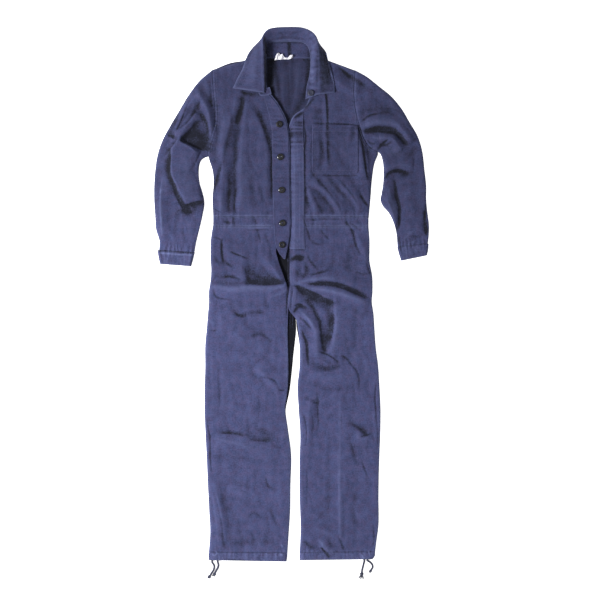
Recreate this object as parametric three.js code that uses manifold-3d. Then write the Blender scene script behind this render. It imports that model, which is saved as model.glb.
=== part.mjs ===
// A boiler suit of heavy cotton twill, laid flat on its back with its fronts up.
// X runs across the suit, towards the wearer's left side. Y runs along it, from the hems to the collar.
// Z is up, and the suit's back rests on z = 0. The origin is under the middle of the suit.
// All sizes are in millimetres. Right and left are the wearer's.
// Each piece is a wall of cloth, cut as a maker would cut it, and seams are left as small gaps.

import * as THREE from 'three';
import { mergeVertices } from 'three/addons/utils/BufferGeometryUtils.js';
import Module from 'manifold-3d';

const wasm = await Module();
wasm.setup();

// Driving sizes
const cloth = 1.8;              // thickness of a panel's wall
const doubled = 2.4;            // wall of a piece that is folded double: collar, cuffs, hems
const seamGap = 0.3;            // between pieces that are sewn to each other
const backCloth = 1.5;          // thickness of the layer that lies on the floor
const stripCloth = 1;           // wall of the strip that runs in under the right front
const layerSeat = backCloth + seamGap;   // where the upper layer comes down to the back layer
const layerLift = 2.4;          // how far the upper layer stands off the back layer
const frontLift = 2.2;          // what the lapped fronts add to that
const edgeRound = 11;           // how wide the upper layer curves down at an edge
const waistTop = 234;           // Y of the seam between the bodice and the waistband
const waistBottom = 204;        // Y of the seam between the waistband and the trousers
const buttonRadius = 10;
const buttonThick = 3.6;
const cordRadius = 1.7;

const colours = {
  twill: 0x4c5079,
  inside: 0x3c3f5e,
  button: 0x17171a,
  label: 0xdedee0,
  cord: 0x333857,
};

// Sections of each panel, from the shoulder or waist down: where its left and right edges
// run in the view from above. A section is a straight line across the cloth.
const frontRightSections = [
  { leftX: -237, leftY: 673, rightX: -75, rightY: 722 },
  { leftX: -235, leftY: 634, rightX: -76, rightY: 672 },
  { leftX: -232, leftY: 592, rightX: -72, rightY: 618 },
  { leftX: -228, leftY: 545, rightX: -40, rightY: 572 },
  { leftX: -230, leftY: 508, rightX: -16, rightY: 525 },
  { leftX: -240, leftY: 474, rightX: -8, rightY: 486 },
  { leftX: -250, leftY: 444, rightX: -5, rightY: 450 },
  { leftX: -249, leftY: 413, rightX: -4, rightY: 415 },
  { leftX: -236, leftY: 368, rightX: -4, rightY: 368 },
  { leftX: -234, leftY: 330, rightX: -3, rightY: 330 },
  { leftX: -237, leftY: 290, rightX: -2, rightY: 290 },
  { leftX: -235, leftY: waistTop, rightX: -2, rightY: waistTop },
];
const rightArmpit = 7;

const frontLeftSections = [
  { leftX: 60, leftY: 720, rightX: 192, rightY: 671 },
  { leftX: 57, leftY: 676, rightX: 189, rightY: 636 },
  { leftX: 56, leftY: 630, rightX: 188, rightY: 602 },
  { leftX: 53, leftY: 588, rightX: 191, rightY: 566 },
  { leftX: 40, leftY: 561, rightX: 198, rightY: 530 },
  { leftX: 7, leftY: 536, rightX: 208, rightY: 496 },
  { leftX: -9, leftY: 500, rightX: 221, rightY: 462 },
  { leftX: -20, leftY: 460, rightX: 240, rightY: 438 },
  { leftX: -20, leftY: 425, rightX: 259, rightY: 427 },
  { leftX: -20, leftY: 385, rightX: 248, rightY: 390 },
  { leftX: -20, leftY: 340, rightX: 241, rightY: 342 },
  { leftX: -20, leftY: 290, rightX: 237, rightY: 290 },
  { leftX: -20, leftY: waistTop, rightX: 232, rightY: waistTop },
];
const leftArmpit = 8;

const sleeveRightSections = [
  { leftX: -237, leftY: 673, rightX: -249, rightY: 413 },
  { leftX: -275, leftY: 641, rightX: -254, rightY: 412 },
  { leftX: -309, leftY: 597, rightX: -260, rightY: 410 },
  { leftX: -336, leftY: 552, rightX: -267, rightY: 406 },
  { leftX: -363, leftY: 507, rightX: -273, rightY: 398 },
  { leftX: -387, leftY: 462, rightX: -277, rightY: 383 },
  { leftX: -402, leftY: 417, rightX: -278, rightY: 360 },
  { leftX: -409, leftY: 370, rightX: -275, rightY: 333 },
  { leftX: -412, leftY: 325, rightX: -267, rightY: 307 },
  { leftX: -412, leftY: 282, rightX: -261, rightY: 274 },
  { leftX: -409, leftY: 235, rightX: -267, rightY: 236 },
  { leftX: -406, leftY: 195, rightX: -276, rightY: 197 },
  { leftX: -396, leftY: 160, rightX: -285, rightY: 160 },
  { leftX: -397, leftY: 134, rightX: -291, rightY: 127 },
];
const cuffRightSections = [
  { leftX: -402, leftY: 133.4, rightX: -290, rightY: 126.4 },
  { leftX: -399, leftY: 112, rightX: -295, rightY: 105 },
  { leftX: -394, leftY: 91, rightX: -301, rightY: 84 },
];

const sleeveLeftSections = [
  { leftX: 259, leftY: 427, rightX: 192, rightY: 671 },
  { leftX: 262, leftY: 426, rightX: 225, rightY: 653 },
  { leftX: 265, leftY: 423, rightX: 262, rightY: 624 },
  { leftX: 268, leftY: 418, rightX: 298, rightY: 595 },
  { leftX: 271, leftY: 410, rightX: 330, rightY: 557 },
  { leftX: 274, leftY: 397, rightX: 355, rightY: 515 },
  { leftX: 276, leftY: 378, rightX: 378, rightY: 475 },
  { leftX: 276, leftY: 353, rightX: 392, rightY: 430 },
  { leftX: 274, leftY: 326, rightX: 399, rightY: 372 },
  { leftX: 270, leftY: 302, rightX: 404, rightY: 325 },
  { leftX: 267, leftY: 282, rightX: 404, rightY: 287 },
  { leftX: 275, leftY: 264, rightX: 406, rightY: 260 },
  { leftX: 291, leftY: 246, rightX: 409, rightY: 236 },
  { leftX: 305, leftY: 219, rightX: 412, rightY: 211 },
  { leftX: 314, leftY: 186, rightX: 412, rightY: 184 },
  { leftX: 318, leftY: 143, rightX: 409, rightY: 153 },
];
const cuffLeftSections = [
  { leftX: 317, leftY: 142.4, rightX: 411, rightY: 152.4 },
  { leftX: 322, leftY: 122, rightX: 410, rightY: 135 },
  { leftX: 329, leftY: 101, rightX: 406, rightY: 117 },
];

const legRightSections = [
  { leftX: -236, leftY: waistBottom, rightX: -2, rightY: waistBottom },
  { leftX: -242, leftY: 165, rightX: -8, rightY: 165 },
  { leftX: -243, leftY: 135, rightX: -32, rightY: 137 },
  { leftX: -243, leftY: 105, rightX: -38, rightY: 107 },
  { leftX: -241, leftY: 75, rightX: -27, rightY: 77 },
  { leftX: -243, leftY: 42, rightX: -13, rightY: 46 },
  { leftX: -248, leftY: 8, rightX: -4, rightY: 14 },
  { leftX: -248, leftY: -25, rightX: -3, rightY: -22 },
  { leftX: -251, leftY: -60, rightX: -4, rightY: -56 },
  { leftX: -254, leftY: -98, rightX: -8, rightY: -94 },
  { leftX: -259, leftY: -155, rightX: -9, rightY: -152 },
  { leftX: -259, leftY: -220, rightX: -9, rightY: -218 },
  { leftX: -261, leftY: -285, rightX: -11, rightY: -283 },
  { leftX: -261, leftY: -342, rightX: -18, rightY: -342 },
  { leftX: -259, leftY: -400, rightX: -11, rightY: -400 },
  { leftX: -255, leftY: -480, rightX: -1, rightY: -480 },
  { leftX: -251, leftY: -570, rightX: -3, rightY: -570 },
  { leftX: -247, leftY: -650, rightX: -4, rightY: -650 },
  { leftX: -244, leftY: -712, rightX: -8, rightY: -712 },
  { leftX: -248, leftY: -772, rightX: -12, rightY: -774 },
];
const hemRightSections = [
  { leftX: -248, leftY: -772.5, rightX: -12, rightY: -774.5 },
  { leftX: -249, leftY: -785, rightX: -13, rightY: -788 },
  { leftX: -248, leftY: -797, rightX: -15, rightY: -801 },
];

const legLeftSections = [
  { leftX: -20, leftY: waistBottom, rightX: 231, rightY: waistBottom },
  { leftX: -19, leftY: 165, rightX: 234, rightY: 162 },
  { leftX: -6, leftY: 137, rightX: 234, rightY: 132 },
  { leftX: -3, leftY: 107, rightX: 234, rightY: 100 },
  { leftX: -2, leftY: 60, rightX: 242, rightY: 56 },
  { leftX: -1, leftY: 14, rightX: 243, rightY: 10 },
  { leftX: 0, leftY: -22, rightX: 241, rightY: -22 },
  { leftX: 0, leftY: -54, rightX: 246, rightY: -58 },
  { leftX: 12, leftY: -76, rightX: 248, rightY: -88 },
  { leftX: 20, leftY: -106, rightX: 250, rightY: -120 },
  { leftX: 24, leftY: -148, rightX: 253, rightY: -160 },
  { leftX: 24, leftY: -215, rightX: 260, rightY: -215 },
  { leftX: 18, leftY: -275, rightX: 264, rightY: -280 },
  { leftX: 21, leftY: -340, rightX: 267, rightY: -345 },
  { leftX: 26, leftY: -420, rightX: 266, rightY: -420 },
  { leftX: 24, leftY: -500, rightX: 263, rightY: -500 },
  { leftX: 24, leftY: -600, rightX: 261, rightY: -600 },
  { leftX: 27, leftY: -690, rightX: 261, rightY: -690 },
  { leftX: 26, leftY: -738, rightX: 255, rightY: -738 },
  { leftX: 24, leftY: -773, rightX: 251, rightY: -771 },
];
const hemLeftSections = [
  { leftX: 24, leftY: -773.5, rightX: 251, rightY: -771.5 },
  { leftX: 24, leftY: -785, rightX: 250, rightY: -783 },
  { leftX: 25, leftY: -797, rightX: 243, rightY: -794 },
];

// The backs of the legs show past the fronts at the crotch.
const backLegRightInner = [
  { x: -0.5, y: waistBottom },
  { x: 4, y: 60 },
  { x: 12, y: -60 },
  { x: 14, y: -104 },
  { x: 10, y: -145 },
  { x: 6, y: -180 },
  { x: 1, y: -232 },
  { x: -6, y: -290 },
  { x: -17, y: -342 },
];
const backLegLeftInner = [
  { x: 0.5, y: waistBottom },
  { x: 5, y: 60 },
  { x: 13, y: -60 },
  { x: 16, y: -100 },
  { x: 23, y: -146 },
];

// The back's shoulder line and neckline, from the right shoulder to the left one.
const backTop = [
  { x: -237, y: 673 },
  { x: -185, y: 694 },
  { x: -134, y: 704 },
  { x: -92, y: 728 },
  { x: -68, y: 757 },
  { x: -20, y: 760 },
  { x: 36, y: 757 },
  { x: 64, y: 732 },
  { x: 104, y: 703 },
  { x: 150, y: 687 },
  { x: 192, y: 671 },
];

// The largest folds: a ridge (or a trough, where high is below 0) along a smooth line through
// three points. Seen along that line, left and right say how far its two sides run out.
const folds = [
  // Wearer's right front, beside the armhole and beside the buttons
  { x0: -165, y0: 590, x1: -202, y1: 440, x2: -212, y2: 252, high: 9, left: 26, right: 16 },
  { x0: -132, y0: 585, x1: -150, y1: 430, x2: -152, y2: 245, high: 6, left: 44, right: 12 },
  { x0: -100, y0: 560, x1: -78, y1: 440, x2: -76, y2: 280, high: 5, left: 11, right: 30 },
  // Wearer's left front, from the collar, at the pocket and down to the waist
  { x0: 112, y0: 668, x1: 150, y1: 626, x2: 200, y2: 600, high: 6, left: 16, right: 14 },
  { x0: 105, y0: 600, x1: 108, y1: 500, x2: 104, y2: 380, high: 4, left: 30, right: 12 },
  { x0: 58, y0: 345, x1: 110, y1: 300, x2: 150, y2: 240, high: 8, left: 24, right: 12 },
  { x0: 50, y0: 320, x1: 62, y1: 285, x2: 78, y2: 246, high: 5, left: 16, right: 10 },
  { x0: 130, y0: 352, x1: 178, y1: 300, x2: 206, y2: 246, high: 5, left: 18, right: 11 },
  { x0: 200, y0: 500, x1: 212, y1: 420, x2: 230, y2: 330, high: 9, left: 11, right: 30 },
  // Right sleeve: ridges from the cap, the hollow under the arm and the elbow
  { x0: -268, y0: 610, x1: -312, y1: 560, x2: -354, y2: 476, high: 10, left: 14, right: 12 },
  { x0: -282, y0: 545, x1: -312, y1: 508, x2: -345, y2: 464, high: 12, left: 14, right: 12 },
  { x0: -276, y0: 606, x1: -252, y1: 552, x2: -240, y2: 470, high: 10, left: 13, right: 14 },
  { x0: -346, y0: 462, x1: -312, y1: 440, x2: -276, y2: 420, high: 15, left: 12, right: 46 },
  { x0: -352, y0: 455, x1: -356, y1: 360, x2: -318, y2: 280, high: 11, left: 44, right: 12 },
  { x0: -268, y0: 296, x1: -296, y1: 290, x2: -326, y2: 282, high: 8, left: 13, right: 26 },
  { x0: -392, y0: 300, x1: -390, y1: 230, x2: -386, y2: 180, high: 4, left: 16, right: 12 },
  // Left sleeve: two folds out of the armpit and one at the elbow
  { x0: 222, y0: 512, x1: 300, y1: 518, x2: 366, y2: 456, high: 12, left: 26, right: 13 },
  { x0: 262, y0: 470, x1: 298, y1: 470, x2: 332, y2: 432, high: 9, left: 12, right: 18 },
  { x0: 280, y0: 372, x1: 320, y1: 390, x2: 366, y2: 386, high: 9, left: 22, right: 13 },
  { x0: 284, y0: 310, x1: 296, y1: 262, x2: 312, y2: 214, high: 6, left: 12, right: 16 },
  { x0: 352, y0: 330, x1: 356, y1: 270, x2: 358, y2: 190, high: 4, left: 26, right: 22 },
  // Seat and crotch: what the fly pulls in, with hollows between
  { x0: -232, y0: 14, x1: -120, y1: 14, x2: -12, y2: 20, high: 8, left: 14, right: 34 },
  { x0: -150, y0: 128, x1: -152, y1: 76, x2: -150, y2: 26, high: 6, left: 16, right: 30 },
  { x0: -84, y0: 112, x1: -44, y1: 62, x2: -14, y2: 26, high: 7, left: 16, right: 14 },
  { x0: 20, y0: 30, x1: 100, y1: 46, x2: 190, y2: 32, high: 8, left: 30, right: 13 },
  { x0: 34, y0: 18, x1: 130, y1: 12, x2: 232, y2: -30, high: 9, left: 14, right: 24 },
  { x0: 16, y0: 4, x1: 60, y1: -20, x2: 124, y2: -34, high: -2, left: 14, right: 18 },
  { x0: 128, y0: -26, x1: 134, y1: -90, x2: 122, y2: -180, high: 7, left: 40, right: 14 },
  { x0: 14, y0: -52, x1: 66, y1: -88, x2: 76, y2: -190, high: 8, left: 16, right: 20 },
  { x0: 190, y0: 190, x1: 220, y1: 130, x2: 226, y2: 76, high: 4, left: 14, right: 20 },
  // Legs
  { x0: -224, y0: -60, x1: -150, y1: -130, x2: -70, y2: -160, high: 4, left: 30, right: 26 },
  { x0: -110, y0: -210, x1: -62, y1: -262, x2: -34, y2: -290, high: 5, left: 24, right: 14 },
  { x0: -232, y0: -440, x1: -130, y1: -446, x2: -36, y2: -468, high: 6, left: 16, right: 30 },
  { x0: -232, y0: -560, x1: -212, y1: -650, x2: -206, y2: -745, high: 5, left: 11, right: 18 },
  { x0: -190, y0: -576, x1: -140, y1: -596, x2: -96, y2: -608, high: 4, left: 14, right: 18 },
  { x0: 54, y0: -226, x1: 120, y1: -250, x2: 200, y2: -240, high: 5, left: 30, right: 22 },
  { x0: 147, y0: -340, x1: 148, y1: -530, x2: 150, y2: -740, high: 3, left: 26, right: 24 },
  { x0: 56, y0: -290, x1: 50, y1: -380, x2: 44, y2: -470, high: 4, left: 14, right: 16 },
  { x0: 184, y0: -414, x1: 214, y1: -432, x2: 244, y2: -422, high: 5, left: 13, right: 20 },
  { x0: 88, y0: -744, x1: 104, y1: -764, x2: 124, y2: -784, high: 5, left: 14, right: 12 },
];

// The collar, a band round the neck from the right front over the back to the left front.
// It rises from its seam, rolls over and falls. Where under is 1 its fall is folded behind it.
const collarSections = [
  { seamX: -80, seamY: 603, seamZ: 9, rollX: -84, rollY: 604, rollZ: 13, edgeX: -176, edgeY: 618, edgeZ: 9, under: 0 },
  { seamX: -77, seamY: 630, seamZ: 9, rollX: -82, rollY: 632, rollZ: 20, edgeX: -164, edgeY: 644, edgeZ: 10, under: 0 },
  { seamX: -77, seamY: 668, seamZ: 9, rollX: -83, rollY: 672, rollZ: 25, edgeX: -147, edgeY: 676, edgeZ: 10, under: 0 },
  { seamX: -77, seamY: 702, seamZ: 9, rollX: -84, rollY: 708, rollZ: 27, edgeX: -136, edgeY: 708, edgeZ: 6, under: 0.1 },
  { seamX: -74, seamY: 727, seamZ: 5, rollX: -86, rollY: 741, rollZ: 27, edgeX: -124, edgeY: 730, edgeZ: 2, under: 0.3 },
  { seamX: -66, seamY: 745, seamZ: 3.6, rollX: -85, rollY: 770, rollZ: 24, edgeX: -104, edgeY: 752, edgeZ: 1.8, under: 0.6 },
  { seamX: -48, seamY: 753, seamZ: 3.2, rollX: -66, rollY: 794, rollZ: 18, edgeX: -72, edgeY: 776, edgeZ: 1.8, under: 1 },
  { seamX: -16, seamY: 755, seamZ: 3.2, rollX: -18, rollY: 799.8, rollZ: 14, edgeX: -18, edgeY: 770, edgeZ: 1.8, under: 1 },
  { seamX: 26, seamY: 753, seamZ: 3.2, rollX: 36, rollY: 797, rollZ: 15, edgeX: 38, edgeY: 774, edgeZ: 1.8, under: 1 },
  { seamX: 46, seamY: 743, seamZ: 3.6, rollX: 70, rollY: 776, rollZ: 20, edgeX: 78, edgeY: 752, edgeZ: 1.8, under: 0.6 },
  { seamX: 55, seamY: 724, seamZ: 5, rollX: 80, rollY: 738, rollZ: 22, edgeX: 102, edgeY: 728, edgeZ: 2, under: 0.3 },
  { seamX: 57, seamY: 698, seamZ: 9, rollX: 81, rollY: 702, rollZ: 20, edgeX: 110, edgeY: 700, edgeZ: 7, under: 0.1 },
  { seamX: 54, seamY: 660, seamZ: 9, rollX: 81, rollY: 660, rollZ: 19, edgeX: 121, edgeY: 662, edgeZ: 10, under: 0 },
  { seamX: 46, seamY: 624, seamZ: 9, rollX: 82, rollY: 628, rollZ: 18, edgeX: 128, edgeY: 632, edgeZ: 10, under: 0 },
  { seamX: 42, seamY: 585, seamZ: 9, rollX: 80, rollY: 598, rollZ: 15, edgeX: 130, edgeY: 605, edgeZ: 9.5, under: 0 },
];

// Strips that carry the buttons and the buttonholes, from the neck down to the fly.
const buttonStripSections = [
  { leftX: -85, leftY: 594, rightX: -67, rightY: 600 },
  { leftX: -75, leftY: 564, rightX: -43, rightY: 571 },
  { leftX: -65, leftY: 524, rightX: -19, rightY: 526 },
  { leftX: -59, leftY: 486, rightX: -10, rightY: 488 },
  { leftX: -58, leftY: 430, rightX: -7, rightY: 430 },
  { leftX: -57, leftY: 350, rightX: -6, rightY: 350 },
  { leftX: -55, leftY: 270, rightX: -4, rightY: 270 },
  { leftX: -53, leftY: 200, rightX: -4, rightY: 200 },
  { leftX: -48, leftY: 150, rightX: -10, rightY: 150 },
  { leftX: -44, leftY: 122, rightX: -15, rightY: 122 },
  { leftX: -38, leftY: 106, rightX: -21, rightY: 106 },
];
const holeStripSections = [
  { leftX: 27, leftY: 534, rightX: 36, rightY: 540 },
  { leftX: 9, leftY: 516, rightX: 36, rightY: 520 },
  { leftX: -7, leftY: 486, rightX: 36, rightY: 486 },
  { leftX: -18, leftY: 452, rightX: 38, rightY: 452 },
  { leftX: -18, leftY: 350, rightX: 40, rightY: 350 },
  { leftX: -18, leftY: 250, rightX: 40, rightY: 250 },
  { leftX: -18, leftY: 165, rightX: 41, rightY: 165 },
  { leftX: -4, leftY: 136, rightX: 42, rightY: 136 },
];

const buttons = [
  { x: 58, y: 603, onCollar: true },
  { x: -36, y: 510 },
  { x: -33, y: 412 },
  { x: -29, y: 313 },
  { x: -27, y: 214 },
  { x: -28, y: 149 },
];

const pocket = { left: 62, right: 200, top: 508, bottom: 361, corner: 12 };

// The free ends of the drawcords, from the hem to the knot.
const cordRuns = [
  { name: 'right_a', points: [[-238, -797.7], [-238, -803], [-232, -815], [-233, -828], [-240, -840], [-245, -849]] },
  { name: 'right_b', points: [[-221, -797.9], [-221, -804], [-218, -813], [-219, -824], [-224, -834], [-228, -841]] },
  { name: 'left_a', points: [[218, -794.8], [218, -801], [215, -810], [212, -819], [210, -827], [209, -835]] },
  { name: 'left_b', points: [[226, -794.7], [227, -800], [234, -807], [240, -813.5], [242, -821], [238, -829]] },
];
const cordSteps = 8;
const knotRadius = 4;

const clamp01 = (t) => Math.min(1, Math.max(0, t));
const smooth = (from, to, value) => {
  const t = clamp01((value - from) / (to - from));
  return t * t * (3 - 2 * t);
};

// A section edge as a smooth curve through a table's rows; t counts rows.
function edgeCurve(sections, side) {
  const points = sections.map((row) => new THREE.Vector3(row[side + 'X'], row[side + 'Y'], 0));
  const curve = new THREE.CatmullRomCurve3(points, false, 'centripetal');
  return (t) => curve.getPoint(clamp01(t / (sections.length - 1)));
}

// The garment's outer edges, where the upper layer comes down to the back layer.
const rimPoints = (sections, side, from = 0, to = sections.length - 1) => {
  const curve = edgeCurve(sections, side);
  const steps = 3 * (to - from);
  return Array.from({ length: steps + 1 }, (_, i) => curve(from + (i / steps) * (to - from)));
};
const line = (a, b) => [new THREE.Vector3(a[0], a[1], 0), new THREE.Vector3(b[0], b[1], 0)];
const lastOf = (list) => list.length - 1;
const rims = [
  line([-237, 673], [-75, 722]),
  line([60, 720], [192, 671]),
  rimPoints(frontRightSections, 'left', rightArmpit),
  rimPoints(frontLeftSections, 'right', leftArmpit),
  rimPoints(sleeveRightSections, 'left'),
  rimPoints(sleeveRightSections, 'right'),
  rimPoints(sleeveLeftSections, 'left'),
  rimPoints(sleeveLeftSections, 'right'),
  rimPoints(cuffRightSections, 'left'),
  rimPoints(cuffRightSections, 'right'),
  rimPoints(cuffLeftSections, 'left'),
  rimPoints(cuffLeftSections, 'right'),
  line([-235, waistTop], [-236, waistBottom]),
  line([232, waistTop], [231, waistBottom]),
  rimPoints(legRightSections, 'left'),
  rimPoints(legRightSections, 'right', 9),
  rimPoints(legLeftSections, 'left', 8),
  rimPoints(legLeftSections, 'right'),
  rimPoints(hemRightSections, 'left'),
  rimPoints(hemRightSections, 'right'),
  rimPoints(hemLeftSections, 'left'),
  rimPoints(hemLeftSections, 'right'),
];

// Nearest point of a polyline: its distance, the side it is passed on, and how far along it lies.
function nearest(points, x, y) {
  let best = { distance: Infinity, side: 1, along: 0 };
  for (let i = 0; i < lastOf(points); i += 1) {
    const a = points[i];
    const dx = points[i + 1].x - a.x;
    const dy = points[i + 1].y - a.y;
    const t = clamp01(((x - a.x) * dx + (y - a.y) * dy) / (dx * dx + dy * dy));
    const offX = x - a.x - t * dx;
    const offY = y - a.y - t * dy;
    const distance = Math.hypot(offX, offY);
    if (distance < best.distance) {
      best = { distance, side: dx * offY - dy * offX, along: (i + t) / lastOf(points) };
    }
  }
  return best;
}

const foldLines = folds.map((fold) => ({
  ...fold,
  points: new THREE.CatmullRomCurve3([
    new THREE.Vector3(fold.x0, fold.y0, 0),
    new THREE.Vector3(fold.x1, fold.y1, 0),
    new THREE.Vector3(fold.x2, fold.y2, 0),
  ]).getPoints(8),
}));

function foldHeight(x, y) {
  let height = 0;
  for (const fold of foldLines) {
    const { distance, side, along } = nearest(fold.points, x, y);
    const reach = side > 0 ? fold.left : fold.right;
    height += fold.high * Math.exp(-((distance / reach) ** 2)) * Math.sqrt(4 * along * (1 - along) + 0.04);
  }
  return height;
}

// Folds die away where the buttons and their strips keep the cloth flat.
function stripCalm(x, y) {
  const middle = y > 480 ? -18 - (y - 480) * 0.62 : -8;
  const inRow = smooth(90, 130, y) * (1 - smooth(610, 640, y));
  return 1 - inRow * (1 - smooth(34, 62, Math.abs(x - middle)));
}

// Height of the upper layer's underside.
function upperLayer(x, y) {
  let rim = Infinity;
  for (const points of rims) rim = Math.min(rim, nearest(points, x, y).distance);
  const inward = clamp01(rim / edgeRound);
  const round = Math.sqrt(1 - (1 - inward) ** 2);
  const fronts = frontLift * smooth(20, 110, y) * (1 - smooth(60, 150, Math.abs(x + 10)));
  const raised = layerLift + fronts + foldHeight(x, y) * stripCalm(x, y);
  return layerSeat + Math.max(0.4 * layerLift, raised) * round;
}

// The wearer's left front runs in under the right one, down to the back layer.
function leftFrontLayer(x, y) {
  const open = smooth(-4, 22, x);
  const lapped = smooth(-10, 30, y) * (1 - smooth(480, 530, y));
  const high = upperLayer(x, y);
  return high + (layerSeat + 0.2 - high) * (1 - open) * lapped;
}

// A closed wall between two grids of points, rows down and columns to the right. outer is the
// upper or outer face. With ring true the last column joins the first.
function wallBetween(outer, inner, ring = false) {
  const rows = outer.length;
  const columns = outer[0].length;
  const positions = [];
  for (const grid of [outer, inner]) for (const row of grid) for (const p of row) positions.push(p.x, p.y, p.z);
  const at = (face, i, j) => face * rows * columns + i * columns + (j % columns);
  const index = [];
  const quad = (a, b, c, d) => index.push(a, b, c, a, c, d);
  const spans = ring ? columns : columns - 1;
  for (let i = 0; i < rows - 1; i += 1) {
    for (let j = 0; j < spans; j += 1) {
      quad(at(0, i, j), at(0, i + 1, j), at(0, i + 1, j + 1), at(0, i, j + 1));
      quad(at(1, i, j), at(1, i, j + 1), at(1, i + 1, j + 1), at(1, i + 1, j));
    }
  }
  for (let j = 0; j < spans; j += 1) {
    quad(at(0, 0, j), at(0, 0, j + 1), at(1, 0, j + 1), at(1, 0, j));
    quad(at(0, rows - 1, j), at(1, rows - 1, j), at(1, rows - 1, j + 1), at(0, rows - 1, j + 1));
  }
  if (!ring) {
    for (let i = 0; i < rows - 1; i += 1) {
      quad(at(0, i, 0), at(1, i, 0), at(1, i + 1, 0), at(0, i + 1, 0));
      const j = columns - 1;
      quad(at(0, i, j), at(0, i + 1, j), at(1, i + 1, j), at(1, i, j));
    }
  }
  const geometry = new THREE.BufferGeometry();
  geometry.setAttribute('position', new THREE.Float32BufferAttribute(positions, 3));
  geometry.setIndex(index);
  geometry.computeVertexNormals();
  return geometry;
}

// Row parameters between two sections, spaced evenly down the middle of the panel.
function evenRows(sections, from, to, count) {
  const left = edgeCurve(sections, 'left');
  const right = edgeCurve(sections, 'right');
  const fine = 40;
  const stations = Array.from({ length: fine + 1 }, (_, i) => from + (i / fine) * (to - from));
  const middles = stations.map((t) => left(t).add(right(t)).multiplyScalar(0.5));
  const walked = [0];
  for (let i = 1; i <= fine; i += 1) walked.push(walked[i - 1] + middles[i].distanceTo(middles[i - 1]));
  return Array.from({ length: count + 1 }, (_, i) => {
    const target = (i / count) * walked[fine];
    const k = Math.min(fine, Math.max(1, walked.findIndex((w) => w >= target - 1e-9)));
    const share = clamp01((target - walked[k - 1]) / (walked[k] - walked[k - 1]));
    return stations[k - 1] + share * (stations[k] - stations[k - 1]);
  });
}

// Columns across a panel, with a narrow one along each edge that turns down.
function columnsAcross(count, narrow = 0.022) {
  const inner = Array.from({ length: count - 1 }, (_, i) => narrow + (i / (count - 2)) * (1 - 2 * narrow));
  return [0, ...inner, 1];
}

// The plan of a panel: a grid of points without height. startLine, where given, is the seam
// that its first row follows, and its pull dies away over the next rows.
function planGrid(sections, rowsAt, columns, startLine) {
  const left = edgeCurve(sections, 'left');
  const right = edgeCurve(sections, 'right');
  return rowsAt.map((t, i) => {
    const a = left(t);
    const b = right(t);
    const pull = startLine ? Math.max(0, 1 - i / 6) ** 2 : 0;
    return columns.map((u, j) => {
      const point = a.clone().lerp(b, u);
      if (pull) {
        const straight = left(rowsAt[0]).lerp(right(rowsAt[0]), u);
        point.add(startLine[j].clone().sub(straight).multiplyScalar(pull));
      }
      return point;
    });
  });
}

const raise = (grid, height) => grid.map((row) => row.map((p) => new THREE.Vector3(p.x, p.y, height(p.x, p.y))));
const lift = (grid, by) => grid.map((row) => row.map((p) => new THREE.Vector3(p.x, p.y, p.z + by)));

// A panel of the upper layer: its underside follows a height, and its wall stands on that.
function upperPanel(plan, height = upperLayer, thick = cloth) {
  const under = raise(plan, height);
  return { under, thick, geometry: wallBetween(lift(under, thick), under) };
}

// A panel of the back layer, flat on the floor, cut to an outline.
function flatPanel(outline, thick = backCloth) {
  const shape = new THREE.Shape(outline.map((p) => new THREE.Vector2(p.x, p.y)));
  return new THREE.ExtrudeGeometry(shape, { depth: thick, bevelEnabled: false });
}

function toSolid(geometry) {
  const bare = geometry.clone();
  bare.deleteAttribute('normal');
  bare.deleteAttribute('uv');
  const merged = mergeVertices(bare, 1e-4);
  return new wasm.Manifold(
    new wasm.Mesh({
      numProp: 3,
      vertProperties: merged.attributes.position.array,
      triVerts: new Uint32Array(merged.index.array),
    }),
  );
}

function fromSolid(solid) {
  const mesh = solid.getMesh();
  const geometry = new THREE.BufferGeometry();
  geometry.setAttribute('position', new THREE.Float32BufferAttribute(mesh.vertProperties, 3));
  geometry.setIndex([...mesh.triVerts]);
  geometry.computeVertexNormals();
  return geometry;
}

// A patch that lies on a panel: the panel's own points moved out, cut to the patch's outline.
function patchOn(panel, shape, thick) {
  const base = lift(panel.under, panel.thick + seamGap);
  const slab = toSolid(wallBetween(lift(base, thick), base));
  const cutter = new THREE.ExtrudeGeometry(shape, { depth: 80, bevelEnabled: false, curveSegments: 4 });
  return fromSolid(slab.intersect(toSolid(cutter)));
}

// A flattened tube, such as a cuff or a hem: its lower wall lies on the floor.
function flatTube(sections, rowCount, columnCount) {
  const columns = columnsAcross(columnCount, 0.05);
  const plan = planGrid(sections, evenRows(sections, 0, lastOf(sections), rowCount), columns);
  const inside = (x, y) => Math.max(doubled + 0.5, upperLayer(x, y));
  const loop = (inset) => plan.map((row) => {
    const a = row[0];
    const b = row[lastOf(row)];
    const narrowed = row.map((p, j) => {
      const share = inset / a.distanceTo(b);
      return a.clone().lerp(b, share + columns[j] * (1 - 2 * share));
    });
    const upper = narrowed.map((p, j) => {
      const top = inside(row[j].x, row[j].y) + (inset ? 0 : doubled);
      return new THREE.Vector3(p.x, p.y, top);
    });
    const lower = narrowed.map((p) => new THREE.Vector3(p.x, p.y, inset ? doubled : 0));
    return [...upper, ...lower.reverse()];
  });
  return wallBetween(loop(0), loop(doubled), true);
}

const group = new THREE.Group();
const material = (name, roughness) =>
  new THREE.MeshStandardMaterial({ color: colours[name], roughness, metalness: 0 });
const materials = {
  twill: material('twill', 0.9),
  inside: material('inside', 0.95),
  button: material('button', 0.25),
  label: material('label', 0.8),
  cord: material('cord', 0.85),
};

function add(name, geometry, materialName) {
  const mesh = new THREE.Mesh(geometry, materials[materialName]);
  mesh.name = name;
  group.add(mesh);
  return mesh;
}

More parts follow.
